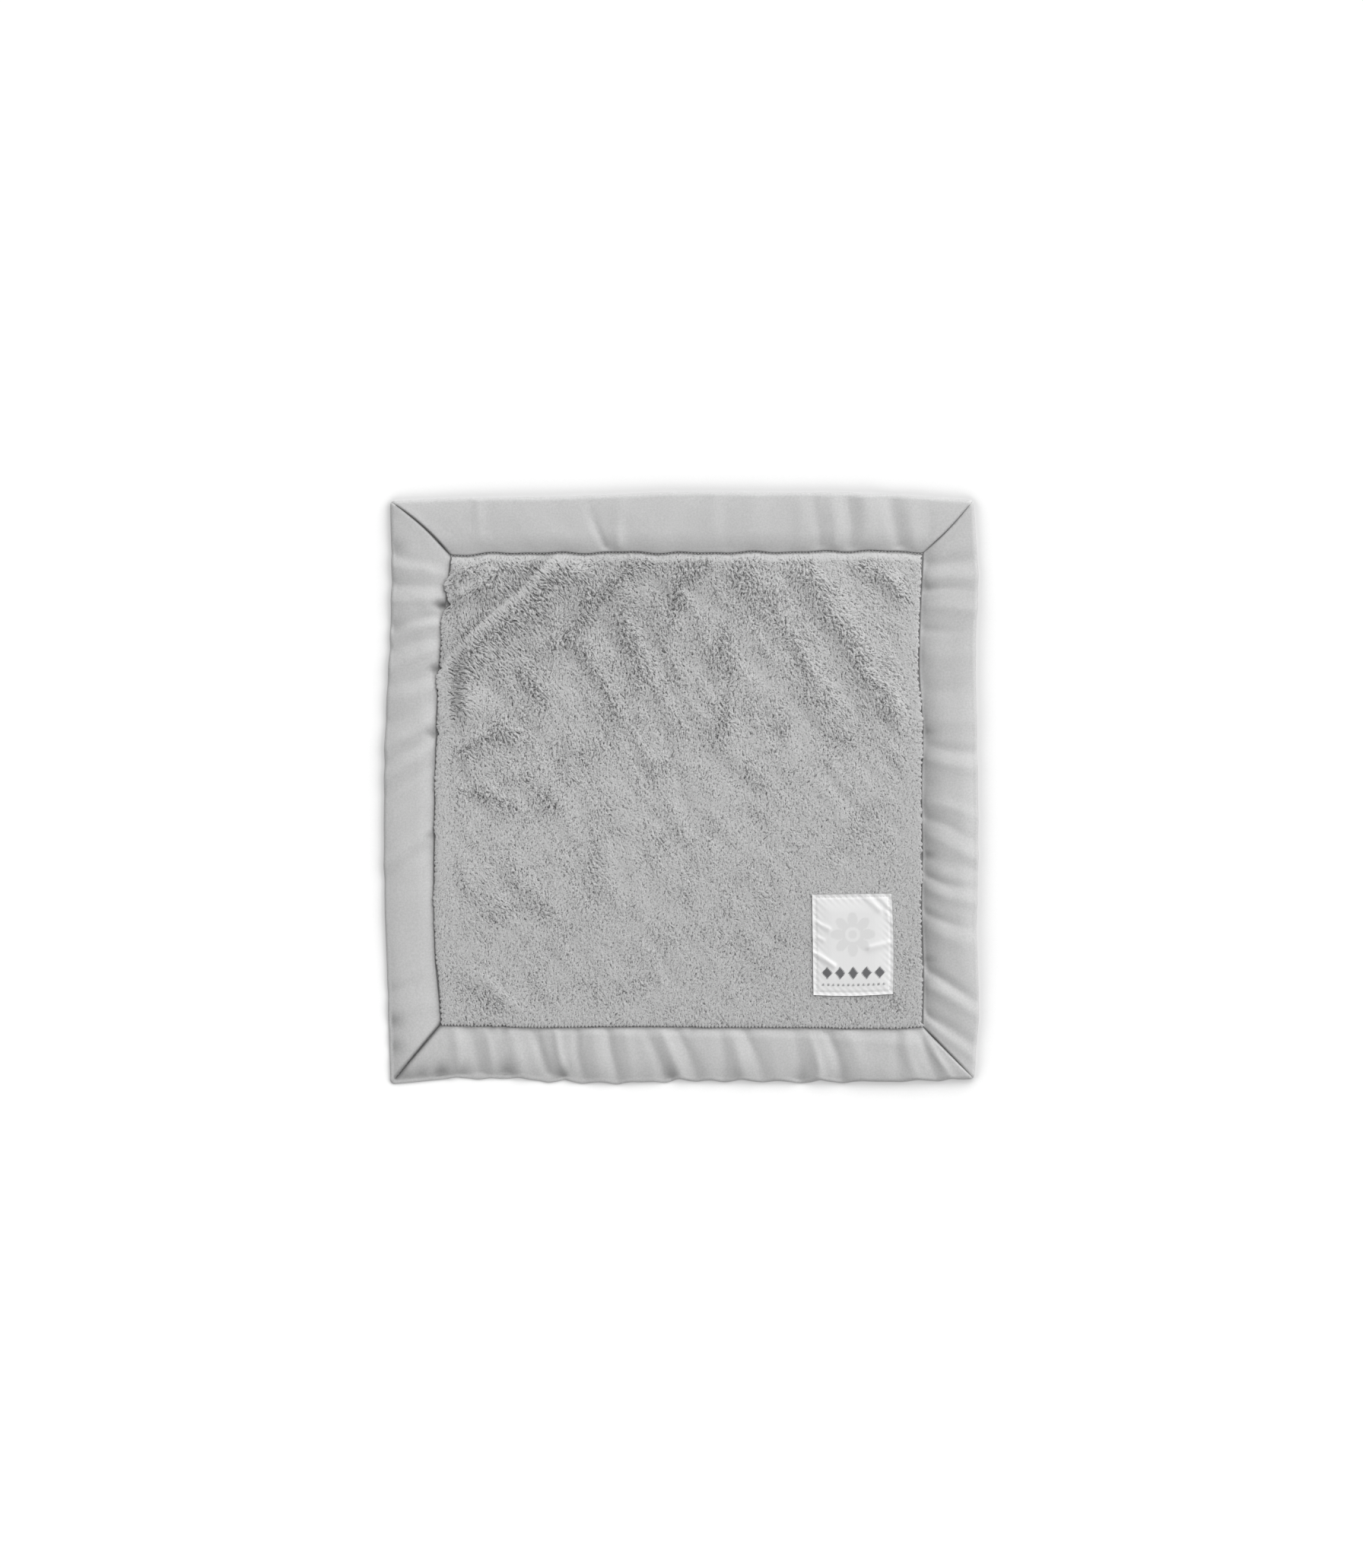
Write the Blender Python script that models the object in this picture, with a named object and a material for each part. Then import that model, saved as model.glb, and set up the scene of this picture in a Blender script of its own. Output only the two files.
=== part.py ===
# Comfort blanket lovey: two plush squares edged with folded satin, and a label sewn to the front.
# Metres, +Z up. It lies on its back with its underside at z = 0. The side with the label is the
# front, and the label sits near the bottom edge, towards -Y, and near the right edge, towards +X.

import math

import bmesh
import bpy

# The blanket as it lies: the furthest reach of its edges, and how far the lines wander
BLANKET_WIDTH = 0.3572
BLANKET_DEPTH = 0.3556
EDGE_SWAY = 0.00655
SEAM_SWAY = 0.00655
SEAM_GAP = 0.0003

# Satin border: one strip for each side, folded over the edge, with mitred ends
BORDER_WIDTH = 0.0343
SATIN_THICKNESS = 0.0004
FOLD_INNER_RADIUS = 0.0023
BORDER_PUFF = 0.0012
RIPPLE_HEIGHT = 0.0018
RIPPLE_SPREAD = 0.0070
RIPPLE_SLANT = 0.009

# Plush squares: a knitted backing with a pile, and a seam allowance held between the satin lips
BACKING_THICKNESS = 0.0009
PILE_HEIGHT = 0.0032
PILE_LEAN = 0.0006
PILE_ROUND = 0.005
SEAM_ALLOWANCE = 0.008
FOLD_HEIGHT = 0.0050
FOLD_SPREAD = 0.0100
FOLD_FADE = 0.013

# Label: a woven satin patch sewn to the front, with a few creases
LABEL_WIDTH = 0.0478
LABEL_HEIGHT = 0.0604
LABEL_THICKNESS = 0.0004
LABEL_FROM_SIDE_SEAM = 0.0178
LABEL_FROM_BOTTOM_SEAM = 0.0198
LABEL_BOW = 0.0008
LABEL_TILT = math.radians(0.8)
LABEL_FADE = 0.016
CREASE_HEIGHT = 0.0006
CREASE_SPREAD = 0.0042

# Numbers of mesh cells: along the plush between its seams, along a strip, and over the label
PANEL_CELLS = 22
STRIP_CELLS = 32
LABEL_COLUMNS = 6
LABEL_ROWS = 8
SHADE_ANGLE = math.radians(40)

# The plush is flat for this many of its cells round the label, so that the label lies on it
LABEL_FLAT_CELLS = 1.2

# Levels of the seam, from the table up: satin, plush, plush, satin, with a gap between layers
BACK_PLUSH_UNDERSIDE = SATIN_THICKNESS + SEAM_GAP
BACK_PLUSH_TOP = BACK_PLUSH_UNDERSIDE + BACKING_THICKNESS
FRONT_PLUSH_UNDERSIDE = BACK_PLUSH_TOP + SEAM_GAP
FRONT_PLUSH_BACKING_TOP = FRONT_PLUSH_UNDERSIDE + BACKING_THICKNESS
FRONT_SATIN_UNDERSIDE = FRONT_PLUSH_BACKING_TOP + SEAM_GAP
LABEL_SEAT = FRONT_PLUSH_BACKING_TOP + PILE_HEIGHT + SEAM_GAP

SIDES = ("bottom", "right", "top", "left")

# How far each outer edge lies inside the blanket's reach, at nine even stations, as shares of
# EDGE_SWAY. Bottom and top run left to right, left and right run bottom to top.
EDGE_SHARES = {
    "bottom": (0.00, 0.54, 0.33, 0.07, 0.30, 0.24, 0.21, 0.24, 0.45),
    "right": (0.42, 0.00, 0.21, 0.07, 0.10, 0.21, 0.30, 0.07, 0.49),
    "top": (0.84, 0.56, 0.49, 0.28, 0.00, 0.07, 0.07, 0.31, 0.77),
    "left": (0.56, 0.38, 0.16, 0.00, 0.00, 0.14, 0.51, 0.68, 0.56),
}

# The same for the seams between satin and plush, measured inwards from the nominal border width
SEAM_SHARES = {
    "bottom": (0.33, 0.16, 0.12, 0.12, 0.16, 0.12, 0.09, 0.02, 0.06),
    "right": (-0.09, -0.13, 0.03, -0.03, 0.05, -0.07, 0.25, 0.15, -0.13),
    "top": (0.56, 0.36, 0.36, 0.29, 0.36, 0.29, 0.26, 0.16, 0.29),
    "left": (-0.01, -0.50, -0.64, -0.67, -0.57, -0.43, -0.22, 0.33, 0.83),
}

# Main ripples of the satin on each side: share along the side, and share of RIPPLE_HEIGHT
RIPPLE_SHARES = {
    "bottom": ((0.11, 0.8), (0.20, 0.7), (0.28, 0.9), (0.36, 0.6), (0.47, 1.0), (0.57, 0.8),
               (0.69, 0.9), (0.76, 0.6), (0.86, 0.6), (0.92, 0.8)),
    "right": ((0.08, 0.8), (0.15, 0.9), (0.26, 0.5), (0.33, 0.7), (0.41, 0.6), (0.48, 0.6),
              (0.55, 0.6), (0.63, 0.4), (0.74, 0.4), (0.82, 0.6), (0.88, 0.5)),
    "top": ((0.17, 0.3), (0.38, 0.6), (0.47, 0.3), (0.60, 0.3), (0.73, 0.5), (0.79, 0.6),
            (0.87, 0.6)),
    "left": ((0.13, 0.4), (0.32, 0.4), (0.41, 0.7), (0.47, 0.4), (0.56, 0.8), (0.61, 0.8),
             (0.68, 0.4), (0.74, 0.7), (0.79, 0.6), (0.84, 0.6)),
}

# Which way a ripple drifts along its side as it runs from the seam to the outer edge
RIPPLE_DRIFT = {"bottom": 1, "right": -1, "top": -1, "left": -1}

# Main folds of the front plush: the two ends of each crest as shares of the plush square, from
# its bottom left corner, then its share of FOLD_HEIGHT and its share of FOLD_SPREAD
FOLD_SHARES = (
    (0.03, 0.74, 0.245, 0.95, 1.00, 1.0),
    (0.02, 0.915, 0.08, 0.965, 0.50, 0.6),
    (0.015, 0.87, 0.135, 0.965, 0.60, 0.6),
    (0.31, 0.89, 0.425, 0.975, 0.45, 0.8),
    (0.24, 0.80, 0.29, 0.85, 0.40, 0.8),
    (0.29, 0.795, 0.354, 0.65, 0.35, 0.8),
    (0.376, 0.90, 0.41, 0.715, 0.35, 0.8),
    (0.164, 0.735, 0.215, 0.668, 0.35, 0.9),
    (0.04, 0.572, 0.145, 0.615, 0.50, 0.8),
    (0.04, 0.487, 0.145, 0.461, 0.35, 0.8),
    (0.174, 0.525, 0.237, 0.452, 0.35, 0.8),
    (0.481, 0.843, 0.554, 0.971, 0.45, 0.8),
    (0.588, 0.827, 0.590, 0.620, 0.35, 0.9),
    (0.64, 0.93, 0.76, 0.73, 0.70, 0.9),
    (0.74, 0.965, 0.93, 0.68, 0.85, 0.9),
    (0.88, 0.965, 0.968, 0.89, 0.45, 0.7),
    (0.03, 0.334, 0.118, 0.238, 0.30, 0.8),
    (0.139, 0.334, 0.231, 0.229, 0.30, 0.8),
)

# Creases of the label, in the same way as shares of the label
CREASE_SHARES = (
    (0.04, 0.38, 0.24, 0.27, 1.0, 0.8),
    (0.75, 0.42, 1.00, 0.52, 0.8, 1.0),
    (0.72, 0.98, 0.95, 0.80, 0.7, 1.0),
    (0.05, 0.72, 0.22, 0.66, 0.5, 0.8),
)

# Height of the pile at the rim, as shares of PILE_HEIGHT: on the seam allowance, at the foot of
# the cut edge, at its top and past its rounding
PILE_RIM_SHARES = (0.0, 0.0, 0.5, 0.92)

# Where the section of the satin has its points, as shares from the outer fold to the seam, and
# the angles of the points round the fold
SATIN_FRONT_SHARES = (1.0, 0.86, 0.62, 0.38, 0.14, 0.0)
FOLD_ANGLES = (math.radians(45), math.radians(90), math.radians(135))

# Colours, as linear red, green and blue
PLUSH_COLOUR = (0.42, 0.42, 0.42)
SATIN_COLOUR = (0.52, 0.52, 0.52)
LABEL_COLOUR = (0.82, 0.82, 0.82)
PLUSH_ROUGHNESS = 0.95
SATIN_ROUGHNESS = 0.5
LABEL_ROUGHNESS = 0.4


def clear_scene():
    for thing in list(bpy.data.objects):
        bpy.data.objects.remove(thing, do_unlink=True)


def make_material(name, colour, roughness):
    material = bpy.data.materials.new(name)
    material.use_nodes = True
    shader = material.node_tree.nodes["Principled BSDF"]
    shader.inputs["Base Color"].default_value = (*colour, 1.0)
    shader.inputs["Roughness"].default_value = roughness
    shader.inputs["Metallic"].default_value = 0.0
    return material


def make_object(name, form, material, parent):
    bmesh.ops.recalc_face_normals(form, faces=form.faces)
    mesh = bpy.data.meshes.new(name)
    form.to_mesh(mesh)
    form.free()
    mesh.materials.append(material)
    mesh.shade_smooth()
    mesh.set_sharp_from_angle(angle=SHADE_ANGLE)
    thing = bpy.data.objects.new(name, mesh)
    bpy.context.scene.collection.objects.link(thing)
    thing.parent = parent
    return thing


def smooth_step(value):
    value = min(max(value, 0.0), 1.0)
    return value * value * (3 - 2 * value)


def along(shares, place):
    """Value at a place from 0 to 1 on a smooth curve through evenly spaced shares."""
    spans = len(shares) - 1
    scaled = min(max(place, 0.0), 1.0) * spans
    index = min(int(scaled), spans - 1)
    part = scaled - index
    before = shares[max(index - 1, 0)]
    start = shares[index]
    end = shares[index + 1]
    after = shares[min(index + 2, spans)]
    slope = (end - before) / 2
    bend = before - 2.5 * start + 2 * end - after / 2
    twist = (3 * start - before - 3 * end + after) / 2
    return start + slope * part + bend * part ** 2 + twist * part ** 3


def reach(side):
    return BLANKET_DEPTH / 2 if side in ("bottom", "top") else BLANKET_WIDTH / 2


def edge_line(side, place, inset):
    """Distance of an outer edge from the middle of the blanket."""
    return reach(side) - EDGE_SWAY * max(along(EDGE_SHARES[side], place), 0.0) - inset


def seam_line(side, place, inset):
    """Distance of a seam from the middle of the blanket, moved inwards by inset."""
    return reach(side) - BORDER_WIDTH - SEAM_SWAY * along(SEAM_SHARES[side], place) - inset


def warped(line, across, up, inset_x=0.0, inset_y=0.0):
    """Point at shares across and up of the uneven square inside four wandering lines."""
    left = -line("left", up, inset_x)
    right = line("right", up, inset_x)
    low = -line("bottom", across, inset_y)
    high = line("top", across, inset_y)
    return left + (right - left) * across, low + (high - low) * up


def crest_height(crests, across, up, width, depth, spread):
    """Sum of rounded crests at shares across and up of a piece of the given size."""
    total = 0.0
    for start_x, start_y, end_x, end_y, height_share, spread_share in crests:
        run_x = (end_x - start_x) * width
        run_y = (end_y - start_y) * depth
        off_x = (across - start_x) * width
        off_y = (up - start_y) * depth
        on_crest = (off_x * run_x + off_y * run_y) / (run_x ** 2 + run_y ** 2)
        on_crest = min(max(on_crest, 0.0), 1.0)
        away = math.hypot(off_x - on_crest * run_x, off_y - on_crest * run_y)
        total += height_share * math.exp(-(away / (spread * spread_share)) ** 2)
    return total


def slab_form(columns, rows, plan, top, underside, underside_step):
    """Closed sheet over a grid of lines, whose underside may use every other line."""
    form = bmesh.new()
    upper = {}
    lower = {}
    for i in range(columns + 1):
        for j in range(rows + 1):
            x, y = plan(i, j)
            upper[i, j] = form.verts.new((x, y, top(i, j)))
            on_rim = i in (0, columns) or j in (0, rows)
            if on_rim or (i % underside_step == 0 and j % underside_step == 0):
                lower[i, j] = form.verts.new((x, y, underside(i, j)))
    for i in range(columns):
        for j in range(rows):
            form.faces.new((upper[i, j], upper[i + 1, j], upper[i + 1, j + 1], upper[i, j + 1]))
    for i in range(0, columns, underside_step):
        for j in range(0, rows, underside_step):
            steps = range(underside_step)
            ring = [(i, j + step) for step in steps]
            ring += [(i + step, j + underside_step) for step in steps]
            ring += [(i + underside_step, j + underside_step - step) for step in steps]
            ring += [(i + underside_step - step, j) for step in steps]
            form.faces.new([lower[key] for key in ring if key in lower])
    rim = [(i, 0) for i in range(columns)]
    rim += [(columns, j) for j in range(rows)]
    rim += [(columns - i, rows) for i in range(columns)]
    rim += [(0, rows - j) for j in range(rows)]
    for here, there in zip(rim, rim[1:] + rim[:1]):
        form.faces.new((upper[here], lower[here], lower[there], upper[there]))
    return form


def plush_size():
    """Nominal width and depth of the plush between its seams."""
    return BLANKET_WIDTH - 2 * BORDER_WIDTH, BLANKET_DEPTH - 2 * BORDER_WIDTH


def label_centre():
    width, depth = plush_size()
    x = width / 2 - LABEL_FROM_SIDE_SEAM - LABEL_WIDTH / 2
    y = -depth / 2 + LABEL_FROM_BOTTOM_SEAM + LABEL_HEIGHT / 2
    return x, y


def panel_lines():
    """Grid lines across the front plush: share of the span between seams, and inset."""
    rim = (-SEAM_ALLOWANCE, SEAM_GAP, SEAM_GAP + PILE_LEAN, PILE_ROUND)
    lines = [(0.0, inset) for inset in rim]
    lines += [(cell / PANEL_CELLS, 0.0) for cell in range(1, PANEL_CELLS)]
    lines += [(1.0, inset) for inset in reversed(rim)]
    return lines


def fold_lift(x, y):
    """How far the front plush is lifted by its loose folds, flat at the seams and the label."""
    width, depth = plush_size()
    crests = crest_height(FOLD_SHARES, x / width + 0.5, y / depth + 0.5, width, depth, FOLD_SPREAD)
    from_seam = min(width / 2 - abs(x), depth / 2 - abs(y))
    label_x, label_y = label_centre()
    past_label_x = max(abs(x - label_x) - LABEL_WIDTH / 2, 0.0)
    past_label_y = max(abs(y - label_y) - LABEL_HEIGHT / 2, 0.0)
    flat_margin = LABEL_FLAT_CELLS * max(width, depth) / PANEL_CELLS
    from_label = math.hypot(past_label_x, past_label_y) - flat_margin
    fade = smooth_step((from_seam - PILE_ROUND) / FOLD_FADE) * smooth_step(from_label / LABEL_FADE)
    return FOLD_HEIGHT * crests * fade


def make_front_plush(material, parent):
    lines = panel_lines()
    last = len(lines) - 1

    def plan(i, j):
        across, inset_x = lines[i]
        up, inset_y = lines[j]
        return warped(seam_line, across, up, inset_x, inset_y)

    def rank(i, j):
        return min(i, last - i, j, last - j)

    def underside(i, j):
        lift = fold_lift(*plan(i, j)) if rank(i, j) >= len(PILE_RIM_SHARES) else 0.0
        return FRONT_PLUSH_UNDERSIDE + lift

    def top(i, j):
        level = rank(i, j)
        pile_share = PILE_RIM_SHARES[level] if level < len(PILE_RIM_SHARES) else 1.0
        return underside(i, j) + BACKING_THICKNESS + PILE_HEIGHT * pile_share

    form = slab_form(last, last, plan, top, underside, 2)
    return make_object("front_plush_panel", form, material, parent)


def seam_loop(form, inset, height):
    """Vertices round the plush square, at an inset from its seams."""
    places = [cell / PANEL_CELLS for cell in range(PANEL_CELLS)]
    corners = [(place, 0.0) for place in places]
    corners += [(1.0, place) for place in places]
    corners += [(1.0 - place, 1.0) for place in places]
    corners += [(0.0, 1.0 - place) for place in places]
    loop = []
    for across, up in corners:
        x, y = warped(seam_line, across, up, inset, inset)
        loop.append(form.verts.new((x, y, height)))
    return loop


def make_back_plush(material, parent):
    """The back square lies on its pile, pressed flat, and hangs in the seam by its backing."""
    form = bmesh.new()
    loops = [
        seam_loop(form, -SEAM_ALLOWANCE, BACK_PLUSH_TOP),
        seam_loop(form, -SEAM_ALLOWANCE, BACK_PLUSH_UNDERSIDE),
        seam_loop(form, SEAM_GAP, BACK_PLUSH_UNDERSIDE),
        seam_loop(form, SEAM_GAP + PILE_LEAN, 0.0),
    ]
    form.faces.new(loops[0])
    form.faces.new(list(reversed(loops[-1])))
    for upper, lower in zip(loops, loops[1:]):
        for index in range(len(upper)):
            following = (index + 1) % len(upper)
            form.faces.new((upper[index], lower[index], lower[following], upper[following]))
    return make_object("back_plush_panel", form, material, parent)


def ripple(side, place, share):
    """Extra puff of the satin at a place along a side and a share from fold to seam."""
    run = 2 * (reach("right") if side in ("bottom", "top") else reach("top"))
    drift = RIPPLE_DRIFT[side] * RIPPLE_SLANT * (1 - share)
    total = 0.0
    for crest_place, height_share in RIPPLE_SHARES[side]:
        away = (place - crest_place) * run - drift
        total += height_share * math.exp(-(away / RIPPLE_SPREAD) ** 2)
    return RIPPLE_HEIGHT * total


def satin_section(side, place):
    """Section of a folded strip: share from the outer edge to the seam, and height."""
    outer_radius = FOLD_INNER_RADIUS + SATIN_THICKNESS
    fold_share = outer_radius / BORDER_WIDTH
    fold_top = outer_radius + FOLD_INNER_RADIUS

    def front(share, thickness):
        puff = (BORDER_PUFF + ripple(side, place, share)) * math.sin(math.pi * share)
        rise = (FRONT_SATIN_UNDERSIDE - fold_top) * share
        return fold_share + (1 - fold_share) * share, fold_top + rise + puff + thickness

    def fold(angle, radius):
        return (outer_radius - radius * math.sin(angle)) / BORDER_WIDTH, \
            outer_radius + radius * math.cos(angle)

    outside = [front(share, SATIN_THICKNESS) for share in SATIN_FRONT_SHARES]
    outside += [fold(angle, outer_radius) for angle in FOLD_ANGLES]
    outside += [(fold_share, 0.0), (1.0, 0.0)]
    inside = [front(share, 0.0) for share in SATIN_FRONT_SHARES]
    inside += [fold(angle, FOLD_INNER_RADIUS) for angle in FOLD_ANGLES]
    inside += [(fold_share, SATIN_THICKNESS), (1.0, SATIN_THICKNESS)]
    return outside + inside[::-1]


def border_station(side, place):
    """Points of a strip's outer edge and its seam, with the mitred ends drawn in by the gap."""
    across, up = {
        "bottom": (place, 0.0),
        "right": (1.0, place),
        "top": (place, 1.0),
        "left": (0.0, place),
    }[side]
    outer = list(warped(edge_line, across, up))
    inner = list(warped(seam_line, across, up))
    drawn_in = SEAM_GAP * math.sqrt(0.5) * ((place == 0.0) - (place == 1.0))
    axis = 0 if side in ("bottom", "top") else 1
    outer[axis] += drawn_in
    inner[axis] += drawn_in
    return outer, inner


def make_border(side, material, parent):
    form = bmesh.new()
    rings = []
    for cell in range(STRIP_CELLS + 1):
        place = cell / STRIP_CELLS
        outer, inner = border_station(side, place)
        ring = []
        for share, height in satin_section(side, place):
            x = outer[0] + (inner[0] - outer[0]) * share
            y = outer[1] + (inner[1] - outer[1]) * share
            ring.append(form.verts.new((x, y, height)))
        rings.append(ring)
    for here, there in zip(rings, rings[1:]):
        for index in range(len(here)):
            following = (index + 1) % len(here)
            form.faces.new((here[index], there[index], there[following], here[following]))
    form.faces.new(rings[0])
    form.faces.new(list(reversed(rings[-1])))
    return make_object("border_" + side, form, material, parent)


def make_label(material, parent):
    def shares(i, j):
        return i / LABEL_COLUMNS, j / LABEL_ROWS

    def plan(i, j):
        across, up = shares(i, j)
        bow = LABEL_BOW * math.sin(math.pi * across) * (1 - up)
        return (across - 0.5) * LABEL_WIDTH, (up - 0.5) * LABEL_HEIGHT - bow

    def underside(i, j):
        size = (LABEL_WIDTH, LABEL_HEIGHT)
        return CREASE_HEIGHT * crest_height(CREASE_SHARES, *shares(i, j), *size, CREASE_SPREAD)

    def top(i, j):
        return underside(i, j) + LABEL_THICKNESS

    form = slab_form(LABEL_COLUMNS, LABEL_ROWS, plan, top, underside, 1)
    label = make_object("label", form, material, parent)
    label.location = (*label_centre(), LABEL_SEAT)
    label.rotation_euler = (0.0, 0.0, LABEL_TILT)
    return label


def build():
    clear_scene()
    blanket = bpy.data.objects.new("comfort_blanket", None)
    bpy.context.scene.collection.objects.link(blanket)
    plush = make_material("plush", PLUSH_COLOUR, PLUSH_ROUGHNESS)
    satin = make_material("satin", SATIN_COLOUR, SATIN_ROUGHNESS)
    woven = make_material("woven_label", LABEL_COLOUR, LABEL_ROUGHNESS)
    make_back_plush(plush, blanket)
    make_front_plush(plush, blanket)
    for side in SIDES:
        make_border(side, satin, blanket)
    make_label(woven, blanket)
    bpy.context.view_layer.update()


build()
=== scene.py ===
# Looks of the comfort blanket: plush squares with combed pile, folded satin borders, a woven
# label and its threads, on a white floor in soft light, seen from straight above.

import math

import bpy
import numpy as np
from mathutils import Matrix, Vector


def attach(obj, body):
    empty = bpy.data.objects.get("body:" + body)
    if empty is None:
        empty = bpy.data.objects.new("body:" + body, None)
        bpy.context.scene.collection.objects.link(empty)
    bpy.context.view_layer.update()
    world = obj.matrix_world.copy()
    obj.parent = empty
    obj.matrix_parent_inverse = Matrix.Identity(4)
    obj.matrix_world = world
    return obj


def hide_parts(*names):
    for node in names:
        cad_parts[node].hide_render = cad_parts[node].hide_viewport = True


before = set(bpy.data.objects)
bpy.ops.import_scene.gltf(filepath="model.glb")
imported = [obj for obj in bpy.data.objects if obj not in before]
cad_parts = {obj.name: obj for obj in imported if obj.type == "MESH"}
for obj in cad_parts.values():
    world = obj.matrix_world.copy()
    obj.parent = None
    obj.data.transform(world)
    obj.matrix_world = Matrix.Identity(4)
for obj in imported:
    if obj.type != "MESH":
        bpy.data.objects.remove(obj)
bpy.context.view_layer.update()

rng = np.random.default_rng(20)

# The blanket's sizes, in metres, as in the CAD
BLANKET_WIDTH = 0.3572
BLANKET_DEPTH = 0.3556
EDGE_SWAY = 0.00655
SEAM_SWAY = 0.00655
SEAM_GAP = 0.0003
BORDER_WIDTH = 0.0343
SATIN_THICKNESS = 0.0004
FOLD_INNER_RADIUS = 0.0023
FOLD_OUTER_RADIUS = FOLD_INNER_RADIUS + SATIN_THICKNESS
BACKING_THICKNESS = 0.0009
PILE_HEIGHT = 0.0032
SEAM_ALLOWANCE = 0.008
FOLD_HEIGHT = 0.0050
FOLD_SPREAD = 0.0100
FOLD_FADE = 0.013
LABEL_WIDTH = 0.0478
LABEL_HEIGHT = 0.0604
LABEL_THICKNESS = 0.0004
LABEL_FROM_SIDE_SEAM = 0.0178
LABEL_FROM_BOTTOM_SEAM = 0.0198
LABEL_TILT = math.radians(0.8)
PLUSH_WIDTH = BLANKET_WIDTH - 2 * BORDER_WIDTH
PLUSH_DEPTH = BLANKET_DEPTH - 2 * BORDER_WIDTH

# Levels of the layers above the table
BACK_PLUSH_UNDERSIDE = SATIN_THICKNESS + SEAM_GAP
BACK_PLUSH_TOP = BACK_PLUSH_UNDERSIDE + BACKING_THICKNESS
FRONT_PLUSH_UNDERSIDE = BACK_PLUSH_TOP + SEAM_GAP
FRONT_PLUSH_BACKING_TOP = FRONT_PLUSH_UNDERSIDE + BACKING_THICKNESS
FRONT_SATIN_UNDERSIDE = FRONT_PLUSH_BACKING_TOP + SEAM_GAP
FRONT_SATIN_TOP = FRONT_SATIN_UNDERSIDE + SATIN_THICKNESS
LABEL_SEAT = FRONT_PLUSH_BACKING_TOP + PILE_HEIGHT + SEAM_GAP

SIDES = ("bottom", "right", "top", "left")

# How the outer edges and the seams wander, as shares of their sway at nine even stations
EDGE_SHARES = {
    "bottom": (0.00, 0.54, 0.33, 0.07, 0.30, 0.24, 0.21, 0.24, 0.45),
    "right": (0.42, 0.00, 0.21, 0.07, 0.10, 0.21, 0.30, 0.07, 0.49),
    "top": (0.84, 0.56, 0.49, 0.28, 0.00, 0.07, 0.07, 0.31, 0.77),
    "left": (0.56, 0.38, 0.16, 0.00, 0.00, 0.14, 0.51, 0.68, 0.56),
}
SEAM_SHARES = {
    "bottom": (0.33, 0.16, 0.12, 0.12, 0.16, 0.12, 0.09, 0.02, 0.06),
    "right": (-0.09, -0.13, 0.03, -0.03, 0.05, -0.07, 0.25, 0.15, -0.13),
    "top": (0.56, 0.36, 0.36, 0.29, 0.36, 0.29, 0.26, 0.16, 0.29),
    "left": (-0.01, -0.50, -0.64, -0.67, -0.57, -0.43, -0.22, 0.33, 0.83),
}

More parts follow.
